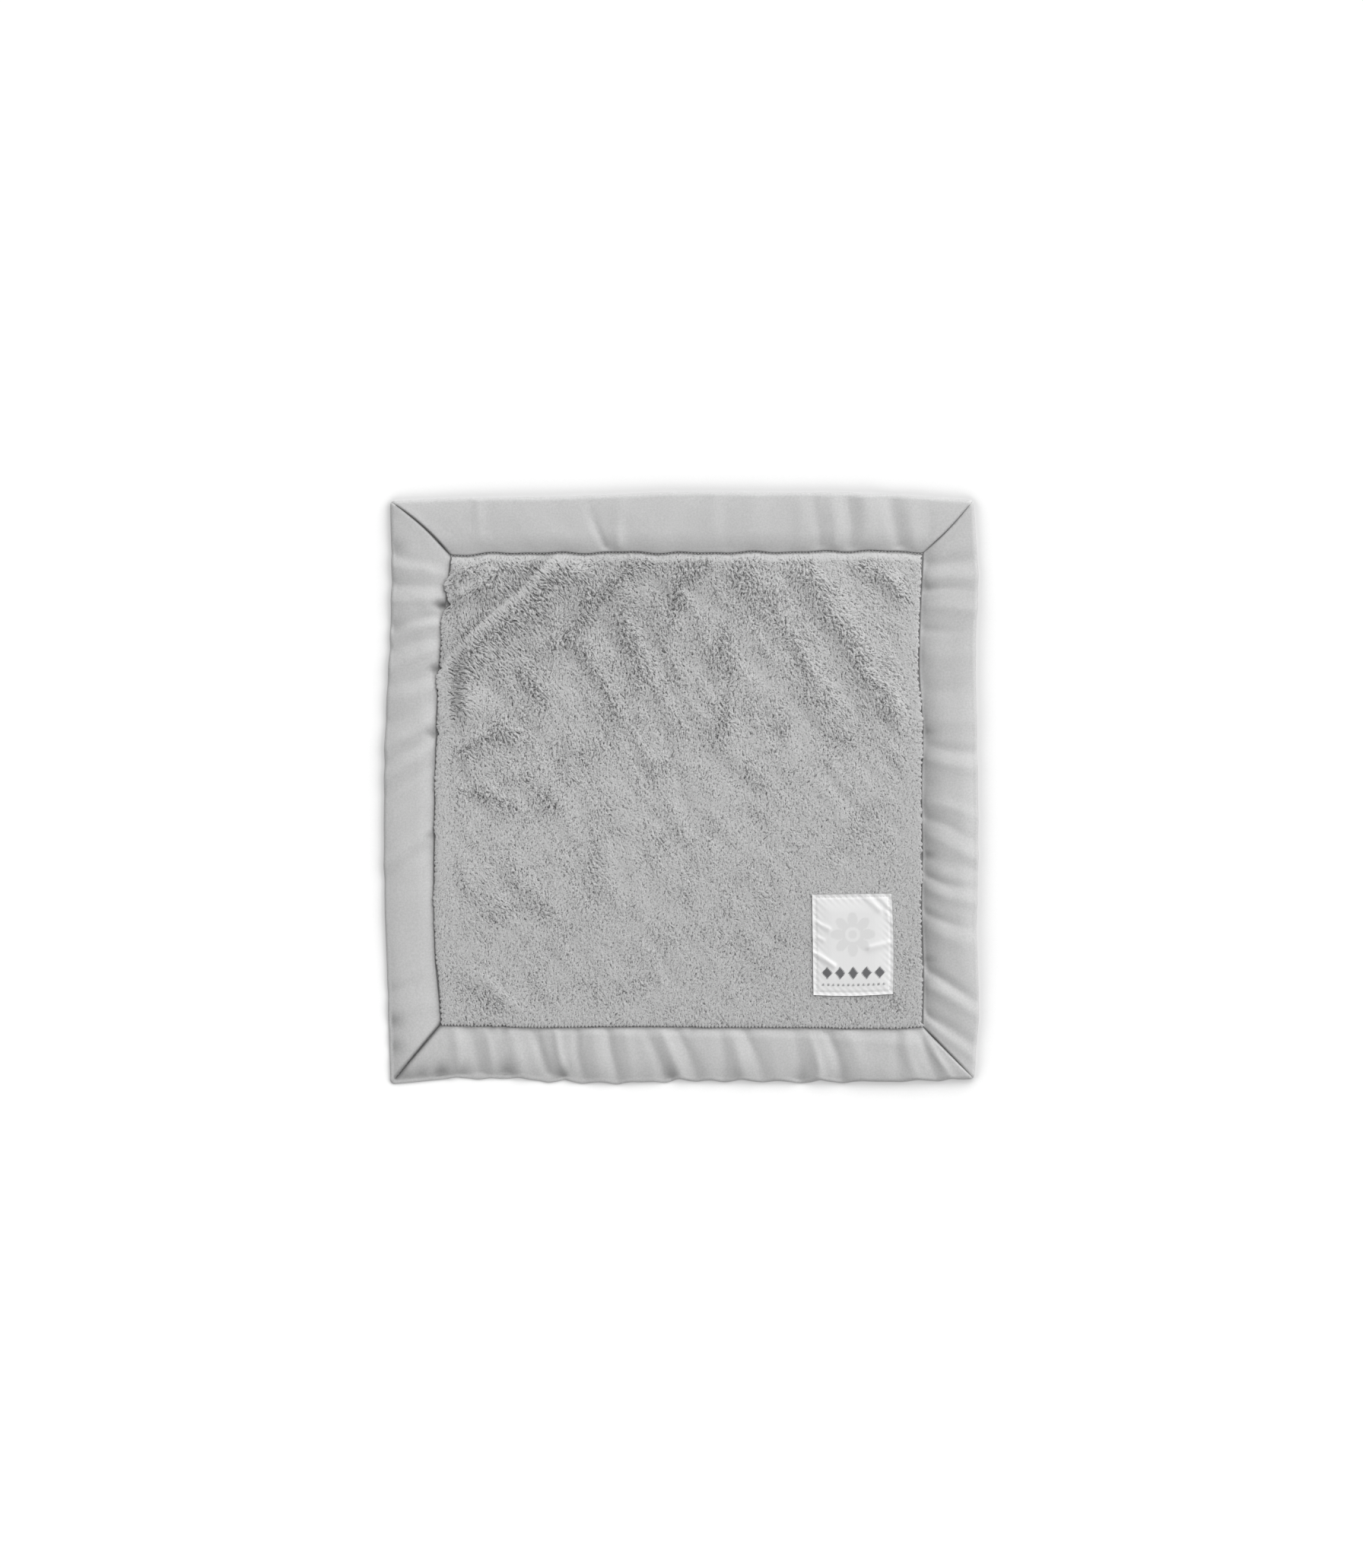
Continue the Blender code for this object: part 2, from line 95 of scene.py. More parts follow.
# Crests of the loose folds, where the pile parts: share of the fold height, shares of the fold
# spread on its left and on its right, how far the pile opens, and points as shares of the plush
# square from its bottom left corner
CREST_SHARES = (
    (1.00, 1.00, 1.50, 1.00, ((0.024, 0.678), (0.027, 0.729), (0.050, 0.761), (0.088, 0.800),
                              (0.145, 0.850), (0.193, 0.891), (0.225, 0.926), (0.256, 0.955))),
    (0.50, 0.35, 0.60, 0.90, ((0.016, 0.910), (0.031, 0.933), (0.050, 0.952), (0.079, 0.965))),
    (0.60, 0.45, 0.70, 0.95, ((0.012, 0.867), (0.035, 0.893), (0.073, 0.910), (0.101, 0.926),
                              (0.123, 0.952), (0.139, 0.968))),
    (0.45, 0.55, 0.90, 1.00, ((0.307, 0.891), (0.342, 0.907), (0.367, 0.933), (0.389, 0.955),
                              (0.427, 0.974))),
    (0.26, 0.60, 0.90, 0.80, ((0.237, 0.802), (0.262, 0.808), (0.291, 0.853))),
    (0.22, 0.80, 0.60, 0.58, ((0.291, 0.795), (0.307, 0.748), (0.326, 0.723), (0.348, 0.687),
                              (0.354, 0.652))),
    (0.24, 0.80, 0.70, 0.66, ((0.376, 0.898), (0.375, 0.824), (0.392, 0.786), (0.408, 0.758),
                              (0.411, 0.713))),
    (0.22, 0.80, 0.90, 0.64, ((0.164, 0.735), (0.196, 0.697), (0.215, 0.668))),
    (0.34, 0.50, 0.90, 0.80, ((0.041, 0.572), (0.085, 0.601), (0.123, 0.617), (0.145, 0.607))),
    (0.24, 0.60, 0.80, 0.66, ((0.041, 0.487), (0.082, 0.487), (0.145, 0.461))),
    (0.20, 0.90, 0.70, 0.60, ((0.174, 0.525), (0.209, 0.487), (0.237, 0.452))),
    (0.30, 0.90, 0.60, 0.76, ((0.481, 0.843), (0.484, 0.875), (0.494, 0.923), (0.519, 0.952),
                              (0.554, 0.971))),
    (0.18, 0.90, 0.90, 0.56, ((0.588, 0.827), (0.588, 0.764), (0.595, 0.700), (0.585, 0.620))),
    (0.32, 1.00, 0.90, 0.66, ((0.623, 0.963), (0.645, 0.910), (0.680, 0.891), (0.702, 0.843),
                              (0.734, 0.795), (0.753, 0.748), (0.769, 0.697), (0.801, 0.668))),
    (0.42, 1.10, 0.90, 0.68, ((0.737, 0.968), (0.763, 0.939), (0.785, 0.907), (0.807, 0.866),
                              (0.842, 0.818), (0.867, 0.770), (0.880, 0.735), (0.918, 0.700),
                              (0.940, 0.652))),
    (0.34, 0.60, 0.60, 0.66, ((0.877, 0.968), (0.918, 0.946), (0.949, 0.914), (0.968, 0.891))),
    (0.14, 0.70, 0.70, 0.34, ((0.031, 0.334), (0.060, 0.302), (0.118, 0.238))),
    (0.14, 0.70, 0.70, 0.34, ((0.139, 0.334), (0.174, 0.294), (0.231, 0.229))),
    (0.13, 0.32, 0.90, 0.00, ((0.084, 0.107), (0.125, 0.066), (0.179, 0.021))),
)

# Places where the pile stands open, or lies smooth where the last number is below zero: shares
# across and up, the patch's radius as a share of the fold spread, and how far it opens
PATCH_SHARES = (
    (0.035, 0.936, 0.7, 0.6), (0.145, 0.958, 0.6, 0.7), (0.196, 0.955, 0.5, 0.5),
    (0.261, 0.955, 0.9, 0.8), (0.321, 0.897, 1.2, 1.0), (0.389, 0.965, 1.1, 0.9),
    (0.253, 0.803, 1.0, 0.9), (0.386, 0.802, 1.3, 0.9), (0.514, 0.946, 1.1, 1.0),
    (0.484, 0.875, 0.9, 0.8), (0.482, 0.732, 1.0, 0.5), (0.587, 0.795, 1.1, 0.7),
    (0.587, 0.652, 1.4, 0.6), (0.625, 0.939, 1.3, 1.0), (0.664, 0.875, 1.2, 0.7),
    (0.750, 0.955, 1.1, 0.8), (0.791, 0.891, 1.1, 0.5), (0.864, 0.761, 1.4, 0.6),
    (0.894, 0.946, 1.0, 0.5), (0.182, 0.716, 1.1, 0.8), (0.120, 0.614, 1.0, 0.9),
    (0.039, 0.572, 1.1, 0.6), (0.079, 0.485, 1.0, 0.8), (0.145, 0.461, 0.8, 0.6),
    (0.221, 0.469, 1.0, 0.8), (0.253, 0.564, 0.9, 0.6), (0.300, 0.564, 0.9, 0.6),
    (0.475, 0.549, 1.1, 0.5), (0.660, 0.517, 1.2, 0.5), (0.704, 0.620, 0.9, 0.6),
    (0.823, 0.604, 1.3, 0.5), (0.933, 0.636, 1.0, 0.5), (0.316, 0.347, 1.2, 0.5),
    (0.554, 0.410, 1.2, 0.4), (0.459, 0.389, 0.9, 0.4), (0.403, 0.143, 1.1, 0.5),
    (0.411, 0.080, 1.0, 0.5), (0.293, 0.092, 0.9, 0.5), (0.016, 0.104, 1.0, 0.7),
    (0.055, 0.080, 1.1, 0.6), (0.111, 0.048, 1.3, 0.6), (0.973, 0.127, 1.0, 0.5),
    (0.949, 0.048, 1.2, 0.6), (0.031, 0.803, 0.8, 0.5), (0.530, 0.477, 1.8, -0.5),
    (0.751, 0.604, 1.3, -0.7), (0.728, 0.564, 1.2, -0.6), (0.688, 0.740, 1.4, -0.5),
    (0.261, 0.708, 1.3, -0.7), (0.079, 0.684, 1.3, -0.6), (0.419, 0.907, 1.0, -0.5),
    (0.538, 0.899, 1.0, -0.5), (0.090, 0.101, 0.6, -1.0), (0.116, 0.075, 0.6, -1.0),
    (0.142, 0.052, 0.6, -1.0), (0.168, 0.030, 0.6, -1.0), (0.206, 0.250, 0.9, 0.4),
    (0.262, 0.216, 0.9, 0.4), (0.140, 0.245, 0.8, 0.4), (0.100, 0.070, 0.9, 0.5),
    (0.205, 0.085, 1.0, 0.3),
)

# Gain that makes the smooth noise fill -1 to 1
NOISE_GAIN = 1.6

# Names that end in RAMP are a gain and an offset for rising(): this one starts the main fold's
# band on its left, and others run up or across the blanket
FLANK_RAMP = (2.0, 0.6)

# Pile along the main fold, which is combed down both flanks: its reach on the left and right
MAIN_LEFT = 0.016
MAIN_RIGHT = 0.012
MAIN_GAIN = 1.4

# How far a crest opens the pile: in a narrow core, which grows with the crest's height, and in a
# wide part on both sides. The patches add to it, and the light band takes from it.
CORE_LEFT = 0.20 * FOLD_SPREAD
CORE_RIGHT = 0.30 * FOLD_SPREAD
CORE_LEAST = 0.10
CORE_GROWTH = 0.40
OPEN_LEAST = 0.12
OPEN_LEFT = 0.42
OPEN_RIGHT = 0.50
WIDE_SHARE = 0.85
WIDE_LOSS = 0.7
BAND_CLOSES = 0.8
BAND_CALM = 0.35
PATCH_RADIUS = 0.62 * FOLD_SPREAD
PATCH_OPEN = 0.62

# How far the pile stands open elsewhere: all over, in the upper part, at random (numbers of waves
# and shares), along the top seam, and near the sides
CALM_OPEN = 0.225
UPPER_OPEN = 0.14
UPPER_OPEN_RAMP = (1.8, 0.5)
OPEN_GAIN = 0.80
LEAST_OPEN = 0.03
OPEN_LAYERS = ((30, 0.12), (75, 0.20))
CLEAN_STRIP = 0.0035
CLEAN_STRIP_SWAY = 0.0020
CLEAN_STRIP_WAVES = 34
CLEAN_STRIP_FADE = 0.005
STRIP_OPEN = 0.30
SIDE_OPEN = 0.58
SIDE_CALM = 0.005
SIDE_FADE = 0.018

# Faint streaks that run along the folds: how far they open and lift the pile
STREAK_STEP = 4
STREAK_LENGTH = 0.024
STREAK_BLUR = 7
STREAK_TURN = math.radians(-54)
STREAK_SWAY = 0.25
STREAK_WAVES = 5
STREAK_LOW = 0.45
STREAK_RAMP = (1.6, 0.2)
STREAK_OPEN = 0.085
STREAK_LIFT = 0.00026

# Pile of the plush: fine locks of hair all over, and larger clumps where it stands open. Locks
# start a little behind their root, taper to their tip, and vary in length, width and level.
PILE_CELLS = 800
LOCK_PITCH = 0.00100
LOCK_LENGTH = 0.0019
LOCK_HALF_WIDTH = 0.00042
LOCK_DEPTH = 0.00035
CLUMP_PITCH = 0.0015
CLUMP_LENGTH = 0.0040
CLUMP_HALF_WIDTH = 0.00085
CLUMP_DEPTH = 0.0007
SEED_JITTER = 0.48
LENGTH_RANGE = (0.6, 1.35)
WIDTH_RANGE = (0.65, 1.3)
LEVEL_RANGE = (0.6, 1.0)
STROKE_BEND = 0.20
STROKE_BACK = 0.12
STROKE_TAPER = 0.6
STAMP_STEP = 0.7
ROOT_LEVEL = 0.45
RISE_END = 0.75
TIP_START = 0.8
GROW_CALM = 0.8
GROW_OPEN = 0.4
LOCK_TURN = math.radians(24)
LOOSE_TURN = math.radians(50)
CLUMP_TURN = 0.7

# The way the nap lies
NAP_FROM_SLOPE = 2.3
SLOPE_BLUR = 4
WIDE_BLUR = 12
ORDERLY_SLOPE = 0.12
NAP_WANDER = math.radians(26)
NAP_LAYERS = ((16, 1.0), (45, 0.6))
UPPER_HALF_RAMP = (2.0, 0.9)
LEFT_RAMP = (-3.0, -1.6)
RIGHT_RAMP = (3.0, 1.6)
UPPER_LEFT_LEAN = 0.35
UPPER_RIGHT_LEAN = 0.60
RIM_NAPS = ((-0.8, 0.006), (0.9, 0.007))
NAP_STRAY = math.radians(22)
NAP_STRAY_PITCH = 0.0022
STRAY_CALM = 2.2
STRAY_ORDER = 1.2
STRAY_PARTED = 2.6

# Dark gaps between the hairs, combed along the nap: short where the pile is calm, long where it
# lies in order or stands open
SHORT_GAP_LENGTH = 0.0010
LONG_GAP_LENGTH = 0.0028
COARSE_GAP_LENGTH = 0.45 * LONG_GAP_LENGTH
COARSE_GAP_BLUR = 2
EVEN_BLUR = 8
EVEN_BLUR_GROWTH = 10
SHORT_SHARE = 0.75
SPECK_SHARE = 0.65
LONG_FROM_OPEN = 0.6
LONG_OPEN_START = 0.3
LONG_ELSEWHERE = 0.30
FINE_SHARE = 0.88
COARSE_SHARE = 0.28
COARSE_FROM_OPEN = 0.30
GAP_THRESHOLD = 1.20
GAP_VALLEY = 0.4
GAP_BAND = 0.15
GAP_SOFTNESS = 0.95
SOFT_FROM_OPEN = 0.6

# Depth of the locks, clumps, gaps and grain, where the pile is calm and where it stands open
LOCK_CALM = 0.40
LOCK_OPEN = 0.85
CLUMP_START = 0.12
CLUMP_RANGE = 0.75
CLUMP_POWER = 1.3
GAP_DEPTH = 0.0006
GRAIN_DEPTH = 0.00012
COMBED_LEAST = 0.15
COMBED_ORDER = 0.8

# Tone of the pile: 1 at the tips, less where it is sunk, which is painted shade
FULL_TONE = 0.98
LOCK_SHADE = 0.26
SHADE_CALM = 0.55
SHADE_OPEN = 0.50
CLUMP_SHADE = 0.25
CLUMP_SHADE_LIMIT = 0.75
CLUMP_SHADE_POWER = 1.6
GAP_SHADE = 0.71
GAP_SHADE_OPEN = 0.15
GRAIN_SHADE = 0.11
LOCK_VARIETY = 0.05
VARIETY_CALM = 0.5
# Painted light on the main fold's band, and painted shade in the valley beyond it
BAND_LIGHT = 0.10
VALLEY_SHADE = 0.13
# Painted shade in the groove at the top seam
GROOVE_SHADE = 0.8
# Painted shade low down and at the top middle, and painted light at the upper right
LOW_SHADE = 0.055
LOW_SHADE_RAMP = (-3.2, -1.5)
UPPER_RIGHT_LIGHT = 0.13
UPPER_LIGHT_RAMP = (1.8, 0.7)
RIGHT_LIGHT_RAMP = (2.4, 1.0)
UPPER_MIDDLE = 0.42
UPPER_MIDDLE_SHADE = 0.075
TOP_SHADE_RAMP = (7.0, 5.6)
MIDDLE_SHADE_RAMP = (-1 / 0.30, -1.2)
# Painted shade on the skirt under the pile's overhanging rim
SKIRT_PAINTED_SHADE = (0.30, 0.05)
LIGHTEST_TONE = 1.15

# Flank of the main fold, measured from its crest: a smooth band, made lighter by painted light,
# and the valley beyond it, darkened by painted shade
BAND_START = 0.0040
BAND_RISE = 0.0052
BAND_END = 0.0106
BAND_FALL = 0.0018
VALLEY_SPREAD = 0.0050
VALLEY_DEPTH = 0.0008

# Rims of the pile: its round edge, the groove at the top seam, and how far it is pulled out
LABEL_CALM = 0.006
LABEL_FADE = 0.020
LEAST_PILE = 0.0001
RIM_ROUND = 0.0046
RIM_TOP = 0.0018
RIM_SUNK = 0.45
RIM_PULL = 0.008
TOP_RISE = 0.0052
TOP_GROOVE = 0.0017
GROOVE_SWAY = 0.0002
GROOVE_WAVES = 110
GROOVE_SUNK = 0.2
# Reach of the painted shade in the top groove
GROOVE_SHADE_REACH = TOP_GROOVE + 0.0004
TOP_PULL = 0.012
SKIRT_TUCK = 0.0005
SKIRT_FOOT = 0.0030
LABEL_PRESS = 0.0008
PRESSED_SHARE = 0.3
PRESSED_OFF = 0.0006
PRESSED_EDGE = 0.0016

# Wander of the top seam, as sizes, pitches and phases of waves
TOP_WOBBLES = ((0.0004, 0.0062, 1.0), (0.00028, 0.0036, 2.2))

# Tufts over the satin on the left and right: an irregular row with smaller ones and a frayed edge
TUFT_OVERHANG = 0.0022
TUFT_PITCH = 0.0034
SMALL_TUFT_PITCH = 0.45 * TUFT_PITCH
TUFT_DRIFT = 0.6
TUFTS_PER_DRIFT = 5
TUFT_SIZE = 0.55
TUFTS_PER_SIZE = 2
RIM_WANDER_PITCH = 0.012
WANDER_SHARE = 0.60
TUFT_SHARE = 0.55
SMALL_TUFT_SHARE = 0.20
FRAY_PITCH = 0.0010
FRAY_SHARES = {"left": 0.10, "right": 0.34}
RIM_SHORTFALL = 0.82

# Bumps along the bottom seam, and a loose tuft near the right corner
BUMP_OVERHANG = 0.0014
BUMP_PITCH = 0.0020
BUMP_DRIFT_PITCH = 0.008
BUMP_SHORTFALL = 0.3
BUMP_WANDER = 0.4
BUMP_SIZE = 0.9
BUMP_SIZE_SWAY = 0.3
LOOSE_PLACE = 0.900
LOOSE_REACH = 0.012
LOOSE_OVERHANG = 1.4 * TUFT_OVERHANG
LOOSE_PITCH = 1.3 * TUFT_PITCH

# Notches in the pile's rim, where the satin's folds run under it: place along the side and depth
# as a share of TUFT_OVERHANG
NOTCH_SPREAD = 0.0022
NOTCH_SHARES = {
    "left": ((0.893, 1.3), (0.757, 0.9), (0.619, 0.6), (0.40, 0.3)),
    "right": ((0.925, 0.4), (0.62, 0.4), (0.36, 0.5), (0.14, 0.4)),
    "bottom": ((0.10, 0.3), (0.13, 0.3), (0.52, 0.2)),
}

# Bulges of the pile over the satin: place along the side, reach and spread
RIM_BULGES = {
    "left": ((0.937, 0.0030, 0.0050), (0.857, 0.0022, 0.0090), (0.735, 0.0022, 0.0090)),
    "right": (),
}

# Backings of the plush, and the back square's pile, pressed flat
FRONT_GROUND_CELLS = 150
BACK_GROUND_CELLS = 80
BACK_PILE_CELLS = 240
BACK_NAP_SWAY = 0.3
BACK_NAP_WAVES = 12
BACK_LOCK_SIZE = 0.9
BACK_RIM = 0.002
BACK_PRESSED = 0.72
# Colour of the back pile, with painted shade between its locks
BACK_TONE = 0.8
BACK_LOCK_SHADE = 0.4

# Satin borders: number of cells along a strip and over its section
STRIP_CELLS = 440
END_CELLS = 14
END_SHARE = 0.012
END_CROWDING = 1.5
FRONT_CELLS = 34
FOLD_CELLS = 8
BACK_CELLS = 10

# Height of the satin's front at five even stations along each side: at the outer fold and at its
# crown, as shares of FRONT_CROWN, and how far the crown lies from the seam as a share of the width
FRONT_CROWN = 0.0061
FOLD_TOP_SHARES = {
    "bottom": (0.30, 0.24, 0.54, 0.62, 0.82),
    "right": (0.82, 1.02, 0.98, 0.92, 0.84),
    "top": (0.74, 0.88, 0.90, 0.90, 0.84),
    "left": (0.30, 0.54, 0.64, 0.66, 0.74),
}
CROWN_SHARES = {
    "bottom": (0.76, 0.73, 0.82, 0.83, 0.92),
    "right": (0.94, 1.42, 1.36, 1.08, 0.94),
    "top": (0.90, 1.00, 1.00, 1.00, 0.94),
    "left": (0.76, 0.80, 0.82, 0.84, 0.90),
}
CROWN_PLACES = {
    "bottom": (0.40, 0.16, 0.20, 0.22, 0.40),
    "right": (0.40, 0.62, 0.62, 0.58, 0.46),
    "top": (0.38, 0.42, 0.40, 0.40, 0.46),
    "left": (0.40, 0.36, 0.36, 0.38, 0.42),
}
SEAM_CURVE = {"bottom": 1.6, "right": 2.9, "top": 2.3, "left": 1.8}
FOLD_CURVE = {"bottom": 3.4, "right": 2.4, "top": 3.0, "left": 3.0}
LIP_FLAT = {"bottom": 0.0012, "right": 0.0012, "top": 0.0, "left": 0.0014}

# Ridges of the satin, and valleys where the height is below zero: the place at the seam and at the
# outer edge as shares of the blanket's side, the shares of RIDGE_HEIGHT there, and the share of
# RIDGE_SPREAD
RIDGE_HEIGHT = 0.0013
RIDGE_SCALE = {"bottom": 0.94, "right": 0.84, "top": 0.86, "left": 0.72}
RIDGE_SPREAD = 0.0048
RIDGE_CRISP = 0.18
RIDGE_ROUND = 0.30
RIDGE_FALL = 1.6
RIDGE_WIDEST = 1.15
RIDGE_NARROWING = 0.3
RIDGE_WARP = 0.0030
RIDGE_WARP_PITCH = 0.03
SWELL_HEIGHT = 0.00035
SWELL_PITCH = 0.020
RIDGE_SHARES = {
    "bottom": (
        (0.118, 0.118, 0.6, 0.6, 0.7), (0.137, 0.160, -0.5, -0.9, 1.0),
        (0.162, 0.185, 0.6, 0.2, 0.6), (0.205, 0.234, 0.3, 1.2, 1.1),
        (0.245, 0.283, -0.8, -1.1, 0.8), (0.284, 0.309, 0.5, 1.2, 0.6),
        (0.322, 0.335, -0.7, -0.7, 0.7), (0.352, 0.362, 0.4, 0.5, 0.9),
        (0.376, 0.390, -0.8, -0.8, 0.7), (0.405, 0.415, 0.5, 0.4, 0.9),
        (0.438, 0.476, -0.4, -1.0, 0.9), (0.466, 0.500, 0.4, 1.2, 0.8),
        (0.492, 0.530, -0.7, -0.6, 0.9), (0.524, 0.549, 0.0, 0.4, 1.0),
        (0.568, 0.573, -0.3, -0.8, 0.9), (0.586, 0.603, 0.0, 1.1, 0.9),
        (0.610, 0.640, -0.7, -0.5, 0.9), (0.655, 0.661, 0.0, 0.5, 1.0),
        (0.698, 0.698, -0.5, -1.0, 1.0), (0.719, 0.729, 0.0, 1.2, 0.6),
        (0.745, 0.765, -0.9, -0.9, 0.8), (0.775, 0.800, 0.6, 0.4, 1.2),
        (0.860, 0.862, -0.3, -0.3, 0.8), (0.875, 0.890, 0.5, 0.7, 0.9),
        (0.905, 0.925, -0.9, -0.6, 0.8), (0.921, 0.945, 0.9, 0.6, 0.7),
    ),
    "top": (
        (0.167, 0.161, 0.0, 0.5, 0.6), (0.368, 0.330, -1.0, -0.1, 0.8),
        (0.392, 0.392, 0.7, 0.2, 0.9), (0.478, 0.484, 0.0, 0.3, 1.3),
        (0.560, 0.557, -0.1, 0.4, 1.2), (0.575, 0.578, -0.3, -0.1, 0.9),
        (0.621, 0.617, 0.3, 0.3, 1.3), (0.689, 0.692, 0.2, 0.2, 1.0),
        (0.727, 0.717, -0.7, -0.2, 0.9), (0.755, 0.752, 0.6, 0.2, 0.9),
        (0.784, 0.781, -0.7, -0.9, 1.1), (0.812, 0.812, 0.2, 0.8, 1.2),
        (0.866, 0.855, -0.9, -0.9, 1.1), (0.891, 0.889, 0.6, 0.3, 1.0),
        (0.916, 0.924, -0.5, 0.0, 0.7),
    ),
    "left": (
        (0.130, 0.121, 0.3, 0.4, 1.1), (0.178, 0.155, 0.1, -0.8, 0.7),
        (0.242, 0.204, 0.1, -0.3, 1.6), (0.332, 0.281, 0.3, 0.4, 1.8),
        (0.403, 0.343, -0.4, -0.6, 1.0), (0.433, 0.368, 0.5, 0.7, 1.1),
        (0.487, 0.442, 0.3, 0.3, 1.6), (0.547, 0.489, -0.6, -0.3, 0.9),
        (0.577, 0.517, 0.8, 0.5, 0.9), (0.597, 0.540, -0.5, -0.5, 0.7),
        (0.623, 0.564, 0.8, 0.8, 0.9), (0.650, 0.605, -0.2, -0.8, 1.0),
        (0.669, 0.650, 0.4, 0.2, 1.0), (0.692, 0.666, -0.8, -0.3, 0.9),
        (0.739, 0.694, 0.6, 0.7, 0.9), (0.762, 0.724, -0.2, -0.8, 0.7),
        (0.785, 0.750, 0.7, 0.5, 0.8), (0.802, 0.766, -1.0, -0.2, 0.8),
        (0.826, 0.813, 0.5, 0.6, 0.9), (0.846, 0.844, -0.3, -1.0, 0.8),
        (0.865, 0.878, 0.3, 0.4, 0.7), (0.880, 0.898, 0.0, -0.6, 0.7),
    ),
    "right": (
        (0.095, 0.045, 0.7, 0.3, 0.9), (0.118, 0.066, -1.3, -0.3, 0.8),
        (0.161, 0.114, 0.8, 0.4, 0.9), (0.187, 0.136, -1.3, -0.3, 0.8),
        (0.255, 0.229, 0.4, 0.3, 1.1), (0.282, 0.255, -1.0, -0.1, 0.8),
        (0.328, 0.300, 0.6, 0.4, 0.9), (0.351, 0.323, -1.0, -0.1, 0.7),
        (0.387, 0.357, -0.5, -0.3, 1.0), (0.422, 0.376, 0.5, 0.4, 0.9),
        (0.449, 0.408, -0.9, -0.2, 0.8), (0.473, 0.448, 0.5, 0.4, 0.9),
        (0.505, 0.486, -0.4, 0.1, 1.0), (0.550, 0.524, 0.6, 0.4, 1.0),
        (0.578, 0.551, -0.5, -0.6, 0.9), (0.621, 0.608, 0.4, 0.3, 1.3),
        (0.672, 0.666, -0.6, -0.2, 1.4), (0.730, 0.724, 0.4, 0.3, 1.2),
        (0.767, 0.765, -0.7, 0.0, 0.7), (0.806, 0.801, 0.4, 0.6, 1.0),
        (0.836, 0.839, -0.7, 0.0, 0.6), (0.858, 0.858, 0.5, 0.4, 0.9),
        (0.881, 0.888, -0.9, -0.5, 1.0),
    ),
}
FINE_WRINKLE = 0.00014
FINE_WRINKLE_PITCH = 0.009
MITRE_DIP = 0.0018
MITRE_DIP_RISE = 5
MITRE_REACH = 0.0010
MITRE_CALM_START = 0.002
MITRE_CALM = 0.011
EDGE_FROM_RIDGE = {"bottom": -0.0010, "right": 0.0006, "top": -0.0004, "left": 0.0006}
EDGE_RIDGE_LIMIT = 1.2
SEAM_CALM = 0.0035
LOWEST_FOLD = 0.0013
SINK_REACH = 0.010
CORNER_RADIUS = 0.0028

# Painted sheen: how light each strip's cloth is painted, as satin's sheen changes with its run
STRIP_PAINTED_SHEEN = {"bottom": 0.96, "right": 0.965, "top": 1.0, "left": 1.0}

# Width of the painted shade along each mitre seam and how dark it is, and how far the satin's
# tucks sink at the notches and how dark the painted shade in them is
MITRE_WIDTHS = {(0, 0): 0.0015, (1, 0): 0.0005, (1, 1): 0.0006, (0, 1): 0.0010}
MITRE_SHADE = 0.85
TUCK_DEPTH = 0.0018
TUCK_SPREAD = 0.0026
TUCK_REACH = 0.0060
TUCK_SHADE = 0.85

# Places along the outer fold where the satin sinks, with a share of OUTER_TUCK_DEPTH
OUTER_TUCK_DEPTH = 0.0017
OUTER_TUCK_SPREAD = 0.0046
OUTER_TUCK_REACH = 0.0080
# How dark the painted shade in the sunk places is
OUTER_TUCK_SHADE = 0.48
OUTER_TUCK_SHARES = {
    "bottom": ((0.032, 0.7), (0.060, 0.7), (0.094, 1.4), (0.130, 0.6), (0.205, 0.9),
               (0.300, 1.0), (0.480, 0.8), (0.595, 0.4), (0.700, 0.5), (0.765, 0.3)),
    "left": ((0.105, 0.7), (0.060, 0.6), (0.770, 0.5), (0.905, 0.5)),
}

# Bow of the mitre seams at the corners, across and up, in metres
MITRE_BOWS = {(0, 0): (0.0, 0.0), (1, 0): (0.0, 0.0), (1, 1): (0.0008, -0.0009),
              (0, 1): (0.0012, 0.0012)}
BOW_REACH = 0.012

# Label: number of cells, and its creases as shares of the label, with a share of CREASE_HEIGHT
# and a share of CREASE_SPREAD
LABEL_COLUMNS = 72
LABEL_ROWS = 90
CREASE_HEIGHT = 0.0007
CREASE_SPREAD = 0.0020
CREASE_STEEP = 0.6
LABEL_CREASES = (
    (0.03, 0.42, 0.26, 0.30, 1.0, 0.9), (0.70, 0.47, 1.00, 0.52, 0.7, 1.1),
    (0.68, 0.97, 0.84, 0.84, 0.7, 1.0), (0.84, 0.98, 0.97, 0.86, 0.6, 0.9),
    (0.03, 0.73, 0.20, 0.66, 0.6, 0.9), (0.03, 0.58, 0.13, 0.55, 0.5, 0.8),
    (0.93, 0.80, 0.99, 0.70, 0.5, 0.8),
)
LABEL_BOW = 0.0008
PUCKER_HEIGHT = 0.00025
PUCKER_PITCH = 0.0042
PUCKER_REACH = 0.005
LABEL_CROWN = 0.0006
LABEL_CROWN_REACH = 0.012
STITCH_INSET = 0.0019
STITCH_DEPTH = 0.00035
STITCH_WIDTH = 0.0006

# Print of the label: a ring of petals, and a row of diamonds and one of dots below it
PRINT_EDGE = 0.0005
PETALS = 8
PETAL_ROOT = 0.42
PETAL_POWER = 0.6
RING_CENTRE = 0.10 * LABEL_HEIGHT
RING_RADIUS = 0.0135
RING_HOLE = 0.0042
RING_MIDDLE = 0.0028
DIAMOND_ROW = -0.0168
DIAMOND_PITCH = 0.0078
DIAMOND_HALF_WIDTH = 0.0032
DIAMOND_HALF_HEIGHT = 0.0040
DIAMOND_EDGE = 0.12
DOT_ROW = -0.0240
DOT_PITCH = 0.0030
DOT_RADIUS = 0.0009
DOT_EDGE = 0.0004
DOT_INK = 0.8
ROW_HALF_LENGTH = 0.0197

